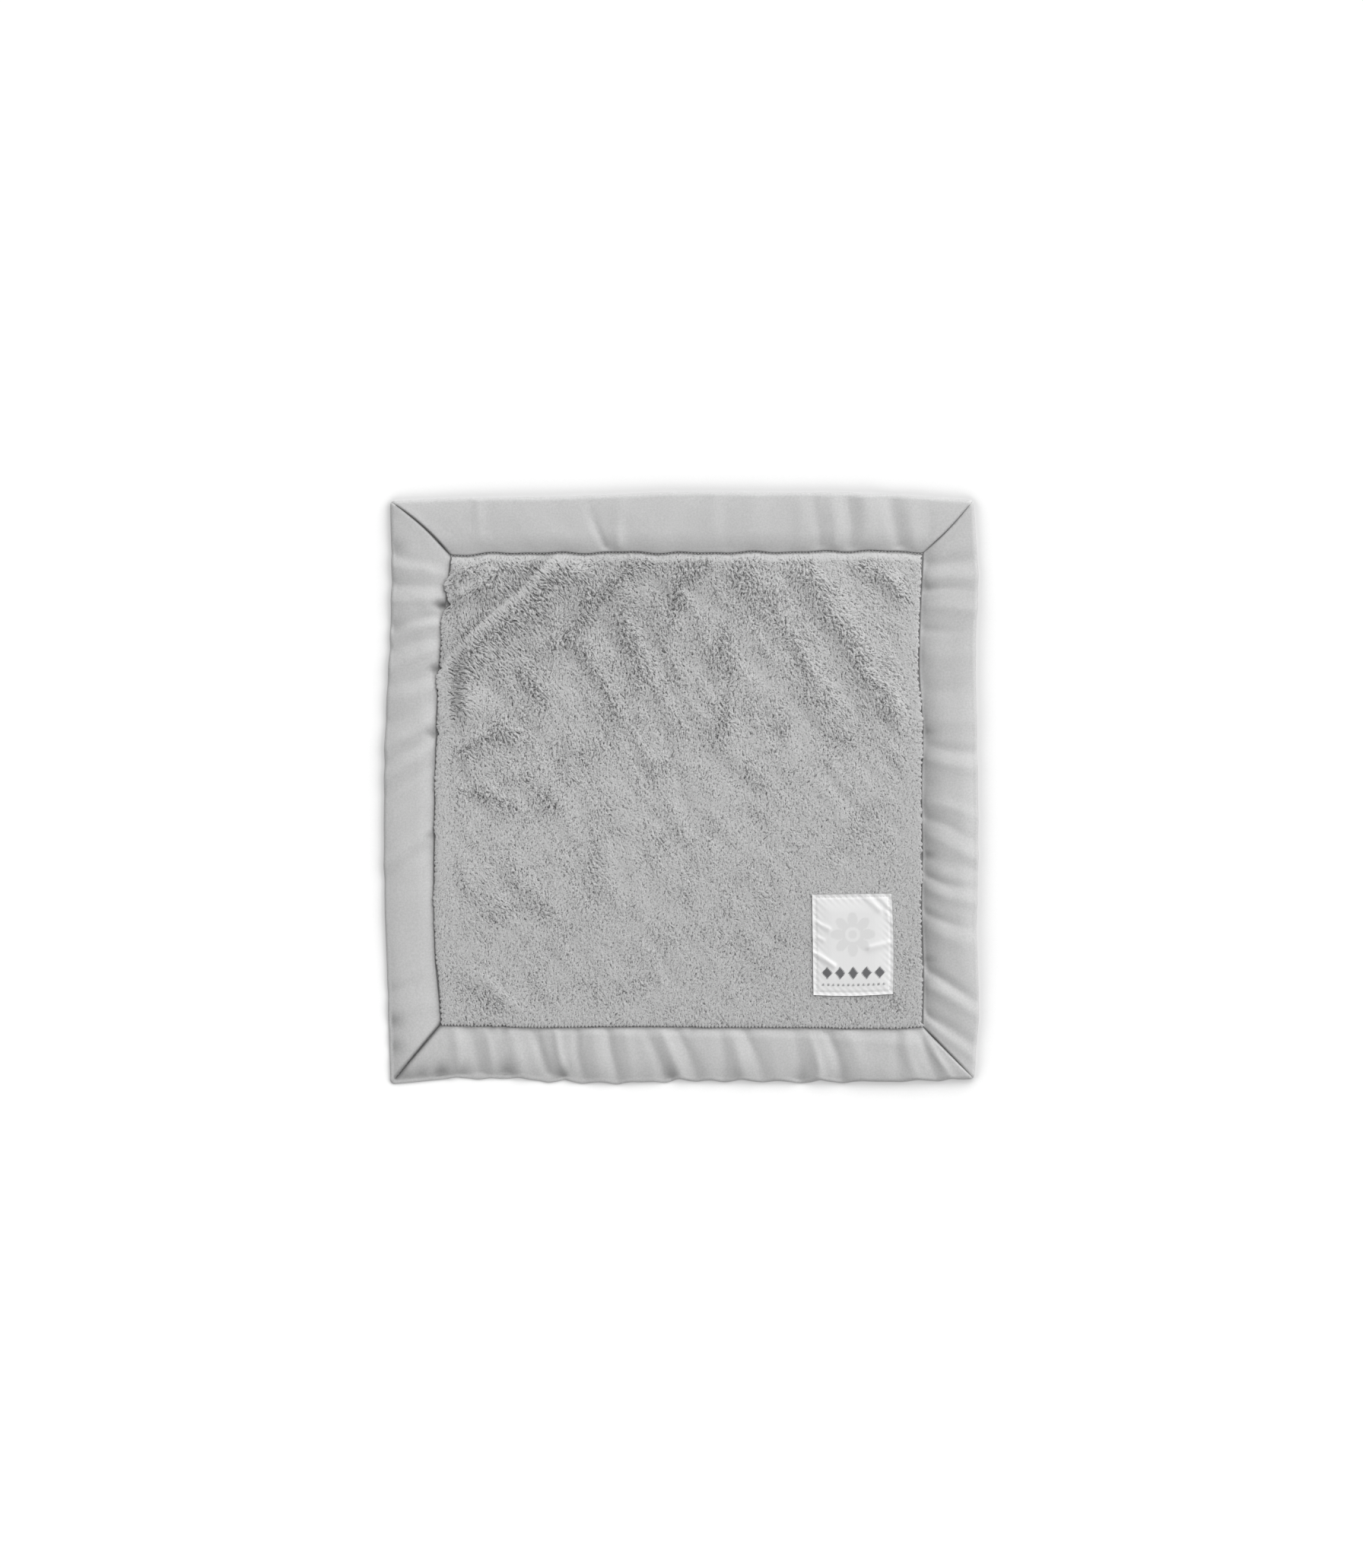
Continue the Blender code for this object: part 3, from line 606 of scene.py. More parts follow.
# Threads: pitches and lengths of the stitches, their places, and their tubes
THREAD_RADIUS = 0.00016
SEAM_STITCH_PITCH = 0.0020
SEAM_STITCH_LENGTH = 0.5 * SEAM_STITCH_PITCH
SEAM_STITCH_INSET = 0.0009
TOP_STITCH_INSET = 0.0004
SEAM_STITCH_LIFT = 0.0003
LABEL_STITCH_PITCH = 0.0018
LABEL_STITCH_LENGTH = 0.62 * LABEL_STITCH_PITCH
MITRE_STITCH_PITCH = 0.0026
MITRE_STITCH_LENGTH = 0.8 * MITRE_STITCH_PITCH
MITRE_STITCH_DEPTH = 0.0003
STITCH_RINGS = 5
STITCH_SIDES = 6
END_TAPER = 0.9
LEAST_GIRTH = 0.05

# Colours, as linear red, green and blue
PLUSH_TIP = (0.490, 0.490, 0.490, 1.0)
# Dark end of the pile's colour, which its painted shade goes towards
PLUSH_PAINTED_SHADE = (0.10, 0.10, 0.10, 1.0)
SATIN_LIGHT = (0.553, 0.553, 0.553, 1.0)
SATIN_DARK = (0.378, 0.378, 0.378, 1.0)
# Dark grey that the satin's painted shade and painted sheen mix towards
PAINTED_SATIN_SHADE = (0.09, 0.09, 0.09, 1.0)
LABEL_WHITE = (0.675, 0.675, 0.675, 1.0)
LABEL_PALE = (0.61, 0.61, 0.61, 1.0)
LABEL_INK = (0.10, 0.10, 0.105, 1.0)
THREAD_GREY = (0.55, 0.55, 0.55, 1.0)
THREAD_WHITE = (0.66, 0.66, 0.66, 1.0)
KNIT_GREY = (0.30, 0.30, 0.30, 1.0)
GRAIN_DARK = 0.88

# Floor: its colour, the soft contact shade round the blanket, and the share of it that seen
# rays take from a glow instead of from the lamp
FLOOR_HALF = 6.0
FLOOR_LEVEL = -0.00002
FLOOR_WHITE = (0.92, 0.92, 0.92, 1.0)
CONTACT_REACH = 0.050
CONTACT_POWER = 2.6
CONTACT_DARKEST = 0.56
GLOW_STRENGTH = 1.1
GLOW_SHARE = 0.65

# Light: a dim white world, and one wide lamp from the upper right
WORLD_LIGHT = 0.30
KEY_ENERGY = 4.2
KEY_ANGLE = math.radians(90)
KEY_DIRECTION = (-0.53, -0.63, -0.60)

# Camera, in millimetres for its sensor and lens, and in metres
CAMERA_SENSOR = 36.0
CAMERA_LENS = 114.69
CAMERA_PLACE = (0.0, 0.0024, 3.0)
CAMERA_RANGE = 100.0


# Curves and lines that the pieces share

def smooth_step(value):
    value = np.clip(value, 0.0, 1.0)
    return value * value * (3 - 2 * value)


def along(shares, place):
    """Values at places from 0 to 1 on a smooth curve through evenly spaced shares."""
    shares = np.asarray(shares)
    spans = len(shares) - 1
    scaled = np.clip(place, 0.0, 1.0) * spans
    index = np.minimum(scaled.astype(int), spans - 1)
    part = scaled - index
    before = shares[np.maximum(index - 1, 0)]
    start = shares[index]
    end = shares[index + 1]
    after = shares[np.minimum(index + 2, spans)]
    slope = (end - before) / 2
    bend = before - 2.5 * start + 2 * end - after / 2
    twist = (3 * start - before - 3 * end + after) / 2
    return start + slope * part + bend * part ** 2 + twist * part ** 3


def reach(side):
    return BLANKET_DEPTH / 2 if side in ("bottom", "top") else BLANKET_WIDTH / 2


def edge_line(side, place):
    """Distance of an outer edge from the middle of the blanket."""
    return reach(side) - EDGE_SWAY * np.maximum(along(EDGE_SHARES[side], place), 0.0)


def seam_line(side, place):
    """Distance of a seam from the middle of the blanket."""
    return reach(side) - BORDER_WIDTH - SEAM_SWAY * along(SEAM_SHARES[side], place)


def warped(line, across, up, grow=0.0):
    """Points at shares across and up of the uneven square inside four wandering lines."""
    left = -line("left", up) - grow
    right = line("right", up) + grow
    low = -line("bottom", across) - grow
    high = line("top", across) + grow
    return left + (right - left) * across, low + (high - low) * up


def square_grid(cells):
    share = np.linspace(0.0, 1.0, cells + 1)
    return np.meshgrid(share, share, indexing="ij")


def rising(value, ramp):
    """Smooth step of a value times a gain, less an offset."""
    gain, offset = ramp
    return smooth_step(gain * value - offset)


def at_least(least, share):
    """A share from 0 to 1, squeezed into the range from least to 1."""
    return least + (1 - least) * share


def bell(distance, spread):
    return np.exp(-(distance / spread) ** 2)


def smooth_noise(columns, rows, waves_x, waves_y):
    """Smooth random field between -1 and 1 with about so many waves each way."""
    knots = rng.uniform(-1.0, 1.0, (int(waves_x) + 4, int(waves_y) + 4))
    place_x = np.linspace(1.0, waves_x + 1.0, columns)
    place_y = np.linspace(1.0, waves_y + 1.0, rows)
    weights_x = spline_weights(place_x, knots.shape[0])
    weights_y = spline_weights(place_y, knots.shape[1])
    return weights_x @ knots @ weights_y.T * NOISE_GAIN


def line_noise(count, waves):
    """The same along a line."""
    return smooth_noise(count, 2, waves, 1)[:, 0]


def layered_noise(shape, layers):
    """Sum of smooth random fields, from pairs of a number of waves and a share."""
    total = np.zeros(shape)
    for waves, share in layers:
        total += share * smooth_noise(*shape, waves, waves)
    return total


def spline_weights(place, count):
    """Weights of a cubic spline over evenly spaced knots."""
    weights = np.zeros((len(place), count))
    index = np.floor(place).astype(int)
    part = place - index
    rows = np.arange(len(place))
    for step, weight in (
        (-1, (1 - part) ** 3 / 6),
        (0, (3 * part ** 3 - 6 * part ** 2 + 4) / 6),
        (1, (-3 * part ** 3 + 3 * part ** 2 + 3 * part + 1) / 6),
        (2, part ** 3 / 6),
    ):
        weights[rows, np.clip(index + step, 0, count - 1)] += weight
    return weights


def blurred(field, passes):
    """Field after some passes of a small blur along both axes."""
    for _ in range(passes):
        padded = np.pad(field, 1, mode="edge")
        field = (padded[:-2, 1:-1] + 2 * padded[1:-1, 1:-1] + padded[2:, 1:-1]) / 4
        padded = np.pad(field, 1, mode="edge")
        field = (padded[1:-1, :-2] + 2 * padded[1:-1, 1:-1] + padded[1:-1, 2:]) / 4
    return field


def from_line(points, x, y):
    """Distance from a line of points, and how far to its left it lies, from -1 to 1."""
    nearest = np.full(x.shape, np.inf)
    sideways = np.zeros(x.shape)
    for (start_x, start_y), (end_x, end_y) in zip(points, points[1:]):
        run_x, run_y = end_x - start_x, end_y - start_y
        length = math.hypot(run_x, run_y)
        on_line = ((x - start_x) * run_x + (y - start_y) * run_y) / length ** 2
        on_line = np.clip(on_line, 0.0, 1.0)
        off_x = x - start_x - on_line * run_x
        off_y = y - start_y - on_line * run_y
        away = np.hypot(off_x, off_y) + 1e-9
        lean = (off_y * run_x - off_x * run_y) / (length * away)
        closer = away < nearest
        nearest = np.where(closer, away, nearest)
        sideways = np.where(closer, lean, sideways)
    return nearest, sideways


def ridge_height(points, x, y, left_spread, right_spread):
    """Rounded ridge along a line of points, with its own spread on each side."""
    nearest, sideways = from_line(points, x, y)
    spread = right_spread + (left_spread - right_spread) * smooth_step(0.5 + sideways / 2)
    return bell(nearest, spread)


# Meshes and materials

def grid_faces(columns, rows, start=0):
    """Quads over a grid of vertices numbered down each column."""
    corner = np.arange(columns)[:, None] * (rows + 1) + np.arange(rows)[None, :] + start
    faces = np.stack((corner, corner + rows + 1, corner + rows + 2, corner + 1), axis=-1)
    return faces.reshape(-1, 4)


def make_piece(name, points, faces, material, flat_map=False):
    """Mesh object from arrays of points and quads."""
    mesh = bpy.data.meshes.new(name)
    mesh.vertices.add(len(points))
    mesh.vertices.foreach_set("co", np.ascontiguousarray(points, np.float32).ravel())
    mesh.loops.add(faces.size)
    mesh.loops.foreach_set("vertex_index", np.ascontiguousarray(faces, np.int32).ravel())
    mesh.polygons.add(len(faces))
    mesh.polygons.foreach_set("loop_start", np.arange(0, faces.size, faces.shape[1]))
    mesh.polygons.foreach_set("loop_total", np.full(len(faces), faces.shape[1]))
    mesh.update(calc_edges=True)
    mesh.validate()
    mesh.shade_smooth()
    mesh.materials.append(material)
    if flat_map:
        span = max(np.ptp(points[:, 0]), np.ptp(points[:, 1]))
        low = points[:, :2].min(axis=0)
        places = (points[faces.ravel(), :2] - low) / span
        layer = mesh.uv_layers.new(name="OFBake")
        layer.data.foreach_set("uv", np.ascontiguousarray(places, np.float32).ravel())
    piece = bpy.data.objects.new(name, mesh)
    bpy.context.scene.collection.objects.link(piece)
    return piece


def add_values(piece, name, values):
    """One number for each vertex, for the materials."""
    layer = piece.data.attributes.new(name, "FLOAT", "POINT")
    layer.data.foreach_set("value", np.ascontiguousarray(values, np.float32).ravel())


def rim_order(index):
    """Vertex numbers in order round the rim of a grid of them."""
    return np.concatenate((index[:-1, 0], index[-1, :-1], index[:0:-1, -1], index[0, :0:-1]))


def sheet_shell(x, y, low, high):
    """Points and faces of a closed thin sheet over a grid, with its rim."""
    columns, rows = x.shape[0] - 1, x.shape[1] - 1
    upper = np.stack((x, y, high), axis=-1).reshape(-1, 3)
    lower = np.stack((x, y, low), axis=-1).reshape(-1, 3)
    count = len(upper)
    rim = rim_order(np.arange(count).reshape(x.shape))
    following = np.roll(rim, -1)
    walls = np.stack((rim, rim + count, following + count, following), axis=-1)
    faces = grid_faces(columns, rows)
    points = np.concatenate((upper, lower))
    return points, np.concatenate((faces, faces[:, ::-1] + count, walls[:, ::-1]))


def new_material(name, **values):
    """Material, its nodes and its links, with values for the sockets of its shader."""
    material = bpy.data.materials.new(name)
    material.use_nodes = True
    nodes, links = material.node_tree.nodes, material.node_tree.links
    for key, value in values.items():
        nodes["Principled BSDF"].inputs[key.replace("_", " ")].default_value = value
    return material, nodes, links


def attribute_value(nodes, name):
    return add_node(nodes, "ShaderNodeAttribute", attribute_name=name).outputs["Fac"]


def object_texture(nodes, links, kind, **values):
    """Texture in the object's own space, in metres."""
    texture = add_node(nodes, kind, **values)
    place = nodes.new("ShaderNodeTexCoord")
    links.new(place.outputs["Object"], texture.inputs["Vector"])
    return texture.outputs["Fac"]


def mix_colours(nodes, links, factor, low, high):
    """Mix by a factor socket, where either end is a colour or a socket."""
    mix = add_node(nodes, "ShaderNodeMix", data_type="RGBA")
    for name, colour in (("A", low), ("B", high)):
        if isinstance(colour, tuple):
            mix.inputs[name].default_value = colour
        else:
            links.new(colour, mix.inputs[name])
    links.new(factor, mix.inputs["Factor"])
    return mix.outputs["Result"]


def finish_surface(nodes, links, colour, height=None, strength=0.0, distance=0.0):
    """The shader takes its colour from one socket, and its bump from another."""
    shader = nodes["Principled BSDF"]
    links.new(colour, shader.inputs["Base Color"])
    if height is not None:
        bump = add_node(nodes, "ShaderNodeBump", Strength=strength, Distance=distance)
        links.new(height, bump.inputs["Height"])
        links.new(bump.outputs["Normal"], shader.inputs["Normal"])


def add_node(nodes, kind, **values):
    """Node with its properties and, for names of sockets, their values."""
    node = nodes.new(kind)
    for key, value in values.items():
        if hasattr(node, key):
            setattr(node, key, value)
        else:
            node.inputs[key.replace("_", " ")].default_value = value
    return node


def plush_material():
    material, nodes, links = new_material("plush_pile", Roughness=0.92, Specular_IOR_Level=0.12,
                                          Sheen_Weight=0.18, Sheen_Roughness=0.55)
    # The pile's painted shade and painted light mix its colour between the dark end and the tips
    tone_and_painted_light = attribute_value(nodes, "tone_and_painted_light")
    colour = mix_colours(nodes, links, tone_and_painted_light, PLUSH_PAINTED_SHADE, PLUSH_TIP)
    hairs = object_texture(nodes, links, "ShaderNodeTexNoise", Scale=2600.0, Detail=2.0)
    finish_surface(nodes, links, colour, hairs, strength=0.35, distance=0.0003)
    return material


def satin_material():
    material, nodes, links = new_material("satin_weave", Roughness=0.48, Specular_IOR_Level=0.30,
                                          Sheen_Weight=0.12, Sheen_Roughness=0.4)
    cloud = object_texture(nodes, links, "ShaderNodeTexNoise", Scale=1000.0, Detail=2.0)
    cloth = mix_colours(nodes, links, cloud, SATIN_DARK, SATIN_LIGHT)
    # Painted shade and painted sheen darken the cloth towards a dark grey
    shade = attribute_value(nodes, "painted_satin_shade")
    colour = mix_colours(nodes, links, shade, PAINTED_SATIN_SHADE, cloth)
    threads = object_texture(nodes, links, "ShaderNodeTexNoise", Scale=2300.0, Detail=1.0)
    finish_surface(nodes, links, colour, threads, strength=0.12, distance=0.0001)
    return material


def plain_material(name, colour, roughness):
    """Thread or backing with a fine grain in its colour."""
    material, nodes, links = new_material(name, Roughness=roughness)
    grain = object_texture(nodes, links, "ShaderNodeTexNoise", Scale=1800.0, Detail=2.0)
    darker = tuple(channel * GRAIN_DARK for channel in colour[:3]) + (1.0,)
    finish_surface(nodes, links, mix_colours(nodes, links, grain, darker, colour))
    return material


# Front plush: loose folds, the way the nap lies, and the combed pile

def label_centre():
    x = PLUSH_WIDTH / 2 - LABEL_FROM_SIDE_SEAM - LABEL_WIDTH / 2
    y = -PLUSH_DEPTH / 2 + LABEL_FROM_BOTTOM_SEAM + LABEL_HEIGHT / 2
    return x, y


def from_label(x, y):
    """Distance of points outside the label's outline, and below zero inside it."""
    label_x, label_y = label_centre()
    past_x = np.abs(x - label_x) - LABEL_WIDTH / 2
    past_y = np.abs(y - label_y) - LABEL_HEIGHT / 2
    outside = np.hypot(np.maximum(past_x, 0.0), np.maximum(past_y, 0.0))
    return outside + np.minimum(np.maximum(past_x, past_y), 0.0)


def plush_points(shares):
    return [((p - 0.5) * PLUSH_WIDTH, (q - 0.5) * PLUSH_DEPTH) for p, q in shares]


def main_flank(x, y):
    """How far points lie in the light band and in the valley beside the main fold, and their
    distance from its crest, which is above zero on the side of the band."""
    nearest, sideways = from_line(plush_points(CREST_SHARES[0][-1]), x, y)
    beside = nearest * np.sign(sideways)
    left = rising(sideways, FLANK_RAMP)
    band = smooth_step((beside - BAND_START) / BAND_RISE) * left
    band = band * smooth_step((BAND_END + BAND_FALL / 2 - beside) / BAND_FALL)
    past = np.maximum(beside - BAND_END - VALLEY_SPREAD / 2, 0.0)
    valley = smooth_step((beside - BAND_END + BAND_FALL / 2) / BAND_FALL)
    return band, valley * bell(past, VALLEY_SPREAD) * left, beside


def away_from_rims(x, y, from_seam):
    """Fade from 0 at the seams and at the label to 1 further off."""
    fade = smooth_step((from_seam - RIM_ROUND) / FOLD_FADE)
    return fade * smooth_step((from_label(x, y) - LABEL_CALM) / LABEL_FADE)


def folds_and_openness(x, y):
    """Lift of the loose folds, how far the pile stands open, and where it parts at a crest."""
    lift = np.zeros(x.shape)
    opened = np.zeros(x.shape)
    parted = np.zeros(x.shape)
    for height_share, left_share, right_share, open_share, shares in CREST_SHARES:
        points = plush_points(shares)
        left, right = FOLD_SPREAD * left_share, FOLD_SPREAD * right_share
        lift += height_share * ridge_height(points, x, y, left, right)
        core = ridge_height(points, x, y, CORE_LEFT, CORE_RIGHT)
        wide_left = FOLD_SPREAD * (OPEN_LEAST + OPEN_LEFT * left_share)
        wide_right = FOLD_SPREAD * (OPEN_LEAST + OPEN_RIGHT * right_share)
        wide = ridge_height(points, x, y, wide_left, wide_right)
        core_share = CORE_LEAST + CORE_GROWTH * height_share ** 3
        near = core_share * core + (WIDE_SHARE - WIDE_LOSS * core_share) * wide
        opened = np.maximum(opened, open_share * near)
        parted = np.maximum(parted, core)
    band, valley, _ = main_flank(x, y)
    from_seam = np.minimum(PLUSH_WIDTH / 2 - np.abs(x), PLUSH_DEPTH / 2 - np.abs(y))
    lift = (FOLD_HEIGHT * lift - VALLEY_DEPTH * valley) * away_from_rims(x, y, from_seam)
    return lift, opened * (1 - BAND_CLOSES * band), parted


def patches(x, y):
    """How far the patches open the pile."""
    total = np.zeros(x.shape)
    for across, up, radius_share, open_share in PATCH_SHARES:
        off_x = x - (across - 0.5) * PLUSH_WIDTH
        off_y = y - (up - 0.5) * PLUSH_DEPTH
        radius = PATCH_RADIUS * radius_share
        total += open_share * np.exp(-(off_x ** 2 + off_y ** 2) / radius ** 2)
    return total


def lock_profile(forward, aside):
    """A lock rises from its root and ends in a round tip."""
    rise = at_least(ROOT_LEVEL, smooth_step(forward / RISE_END))
    tip = np.sqrt(1 - np.clip((forward - TIP_START) / (1 - TIP_START), 0.0, 1.0) ** 2)
    return rise * tip * np.sqrt(1 - aside ** 2)


def strokes(nap, turn, grow, pitch, stroke_length, stroke_half_width):
    """Locks laid along the nap: the highest one at each point, and its own shade."""
    nap_x, nap_y = nap
    cells = nap_x.shape[0] - 1
    cell = PLUSH_WIDTH / cells
    per_side = int(PLUSH_WIDTH / pitch)
    seed_i, seed_j = np.meshgrid(np.arange(per_side), np.arange(per_side), indexing="ij")
    jitter_i = rng.uniform(-SEED_JITTER, SEED_JITTER, seed_i.shape)
    jitter_j = rng.uniform(-SEED_JITTER, SEED_JITTER, seed_j.shape)
    seed_i = (seed_i + 0.5 + jitter_i).ravel() / per_side * cells
    seed_j = (seed_j + 0.5 + jitter_j).ravel() / per_side * cells
    near_i = np.rint(seed_i).astype(int)
    near_j = np.rint(seed_j).astype(int)
    count = len(seed_i)
    angle = np.arctan2(nap_y[near_i, near_j], nap_x[near_i, near_j])
    angle += rng.normal(0.0, 1.0, count) * turn[near_i, near_j]
    heading_x, heading_y = np.cos(angle), np.sin(angle)
    length = stroke_length * grow[near_i, near_j] * rng.uniform(*LENGTH_RANGE, count)
    half_width = stroke_half_width * rng.uniform(*WIDTH_RANGE, count)
    bend = stroke_length * STROKE_BEND * rng.normal(0.0, 1.0, count)
    level = rng.uniform(*LEVEL_RANGE, count)
    shade = rng.uniform(-1.0, 1.0, count)
    height = np.zeros(nap_x.shape)
    bright = np.zeros(nap_x.shape)
    widest = half_width.max()
    forward_steps = np.arange(-STROKE_BACK, 1.0, STAMP_STEP * cell / length.max())
    aside_steps = np.arange(-widest, widest + cell, STAMP_STEP * cell)
    for forward_step in forward_steps:
        spine = forward_step * length
        off_line = bend * forward_step ** 2
        for aside_step in aside_steps:
            sideways = off_line + aside_step
            i = np.rint(seed_i + (spine * heading_x - sideways * heading_y) / cell).astype(int)
            j = np.rint(seed_j + (spine * heading_y + sideways * heading_x) / cell).astype(int)
            kept = (i >= 0) & (i <= cells) & (j >= 0) & (j <= cells)
            kept &= np.abs(aside_step) < half_width + cell
            off_x = (i - seed_i) * cell
            off_y = (j - seed_j) * cell
            forward = (off_x * heading_x + off_y * heading_y) / length
            aside = off_y * heading_x - off_x * heading_y - bend * forward ** 2
            width = half_width * (1 - STROKE_TAPER * np.clip(forward, 0.0, 1.0) ** 2)
            kept &= (forward > -STROKE_BACK) & (forward < 1.0) & (np.abs(aside) < width)
            i, j = i[kept], j[kept]
            value = lock_profile(forward[kept], aside[kept] / width[kept]) * level[kept]
            over = value > height[i, j]
            height[i[over], j[over]] = value[over]
            bright[i[over], j[over]] = shade[kept][over]
    return height, bright


def combed_noise(nap, cell, length, passes):
    """Random field of unit spread, smeared along the nap over a length."""
    nap_x, nap_y = nap
    grain = blurred(rng.normal(0.0, 1.0, nap_x.shape), passes)
    total = grain.copy()
    rows, columns = np.indices(nap_x.shape)
    last = nap_x.shape[0] - 1
    for direction in (-1, 1):
        place_i, place_j = rows.astype(float), columns.astype(float)
        i, j = rows, columns
        for _ in range(int(round(length / cell / 2))):
            place_i += direction * nap_x[i, j]
            place_j += direction * nap_y[i, j]
            i = np.clip(np.rint(place_i).astype(int), 0, last)
            j = np.clip(np.rint(place_j).astype(int), 0, last)
            total += grain[i, j]
    total -= blurred(total, EVEN_BLUR + EVEN_BLUR_GROWTH * passes)
    return total / total.std()


def fold_streaks(beside, main, cell):
    """Random field of unit spread, smeared a long way down the blanket or along the main
    fold."""
    coarse_beside = blurred(beside[::STREAK_STEP, ::STREAK_STEP], SLOPE_BLUR)
    coarse_main = main[::STREAK_STEP, ::STREAK_STEP]
    away_x, away_y = np.gradient(coarse_beside, STREAK_STEP * cell)
    turn = STREAK_TURN + STREAK_SWAY * smooth_noise(*coarse_main.shape, STREAK_WAVES, STREAK_WAVES)
    run_x = np.cos(turn) * (1 - coarse_main) - away_y * coarse_main
    run_y = np.sin(turn) * (1 - coarse_main) + away_x * coarse_main
    size = np.hypot(run_x, run_y) + 1e-6
    run = (run_x / size, run_y / size)
    streaks = combed_noise(run, STREAK_STEP * cell, STREAK_LENGTH, STREAK_BLUR)
    knots = np.pad(streaks, 1, mode="edge")
    place = np.arange(beside.shape[0]) / STREAK_STEP + 1.0
    weights = spline_weights(place, knots.shape[0])
    return weights @ knots @ weights.T


def tuft_line(count, pitch, length):
    """Irregular row of rounded tufts along a rim, from 0 to 1."""
    waves = length / pitch
    place = np.linspace(0.0, 1.0, count)
    drift = TUFT_DRIFT * line_noise(count, waves / TUFTS_PER_DRIFT)
    tufts = np.abs(np.sin(math.pi * (place * waves + drift)))
    size = at_least(TUFT_SIZE, line_noise(count, waves / TUFTS_PER_SIZE))
    return np.clip(tufts * size, 0.0, 1.0)


def rim_line(side, count):
    """How far the pile's tufts reach over the satin along one side."""
    run = PLUSH_WIDTH if side == "bottom" else PLUSH_DEPTH
    place = np.linspace(0.0, 1.0, count)
    wander = 0.5 + 0.5 * line_noise(count, run / RIM_WANDER_PITCH)
    if side == "bottom":
        drift = line_noise(count, run / BUMP_DRIFT_PITCH)
        bumps = np.abs(np.sin(math.pi * (place * run / BUMP_PITCH + 0.5 * drift)))
        size = BUMP_SIZE + BUMP_SIZE_SWAY * drift
        reach_out = BUMP_OVERHANG * (BUMP_WANDER * wander - BUMP_SHORTFALL + size * bumps)
        loose = bell((place - LOOSE_PLACE) * run, LOOSE_REACH)
        reach_out += LOOSE_OVERHANG * loose * tuft_line(count, LOOSE_PITCH, run)
    else:
        tufts = tuft_line(count, TUFT_PITCH, run)
        small = tuft_line(count, SMALL_TUFT_PITCH, run)
        frayed = line_noise(count, run / FRAY_PITCH)
        full = WANDER_SHARE * wander + TUFT_SHARE * tufts + SMALL_TUFT_SHARE * small
        full = full - RIM_SHORTFALL + FRAY_SHARES[side] * frayed
        reach_out = TUFT_OVERHANG * full
        for bulge_place, bulge, spread in RIM_BULGES[side]:
            reach_out += bulge * bell((place - bulge_place) * run, spread)
    for notch_place, depth in NOTCH_SHARES[side]:
        notch = bell((place - notch_place) * run, NOTCH_SPREAD)
        reach_out = reach_out - TUFT_OVERHANG * depth * notch
    return reach_out


def top_wobble(x):
    """Small wander of the top seam."""
    return sum(size * np.sin(x / pitch + phase) for size, pitch, phase in TOP_WOBBLES)


def pile_openness(x, y, opened, streaks, band, up, rims):
    """How far the pile stands open, from 0 to 1, with its patches and its random part."""
    from_left, from_right, _, from_top = rims
    opened = opened + PATCH_OPEN * patches(x, y) * (1 - band) + STREAK_OPEN * streaks
    opened += layered_noise(x.shape, OPEN_LAYERS)
    strip_edge = CLEAN_STRIP + CLEAN_STRIP_SWAY * line_noise(x.shape[0], CLEAN_STRIP_WAVES)
    clean = smooth_step((from_top - strip_edge[:, None]) / CLEAN_STRIP_FADE)
    base = CALM_OPEN + UPPER_OPEN * rising(up, UPPER_OPEN_RAMP)
    opened = np.clip(base + OPEN_GAIN * opened, LEAST_OPEN, 1.0) * at_least(STRIP_OPEN, clean)
    from_side = np.minimum(from_left, from_right)
    calm = at_least(SIDE_OPEN, smooth_step((from_side - SIDE_CALM) / SIDE_FADE))
    return opened * (1 - BAND_CALM * band) * calm


def comb_nap(lift, parted, main, beside, across, up, rims, cell):
    """The way the nap lies, the way its hairs lie, and how orderly the folds' slopes make it.
    It leans down the blanket, away from the crests, and outwards at the rims."""
    slope_x, slope_y = np.gradient(blurred(lift, SLOPE_BLUR), cell)
    lean = NAP_WANDER * layered_noise(lift.shape, NAP_LAYERS)
    lean += rising(up, UPPER_HALF_RAMP) * (UPPER_LEFT_LEAN * rising(across, LEFT_RAMP)
                                           + UPPER_RIGHT_LEAN * rising(across, RIGHT_RAMP))
    nap_x = np.sin(lean) - NAP_FROM_SLOPE * slope_x
    nap_y = -np.cos(lean) - NAP_FROM_SLOPE * slope_y
    away_x, away_y = np.gradient(blurred(beside, WIDE_BLUR), cell)
    nap_x -= (away_x + nap_x) * main
    nap_y -= (away_y + nap_y) * main
    for (outwards, reach_in), away in zip(RIM_NAPS, rims):
        nap_x += outwards * smooth_step(1 - away / reach_in)
    steepness = blurred(np.hypot(slope_x, slope_y), WIDE_BLUR)
    order = np.clip(steepness / ORDERLY_SLOPE, 0.0, 1.0)
    stray_waves = PLUSH_WIDTH / NAP_STRAY_PITCH
    stray = smooth_noise(*lift.shape, stray_waves, stray_waves)
    stray *= NAP_STRAY * (STRAY_CALM - STRAY_ORDER * order + STRAY_PARTED * parted)
    angle = np.arctan2(nap_y, nap_x)
    nap = (np.cos(angle), np.sin(angle))
    hair_nap = (np.cos(angle + stray), np.sin(angle + stray))
    return nap, hair_nap, order


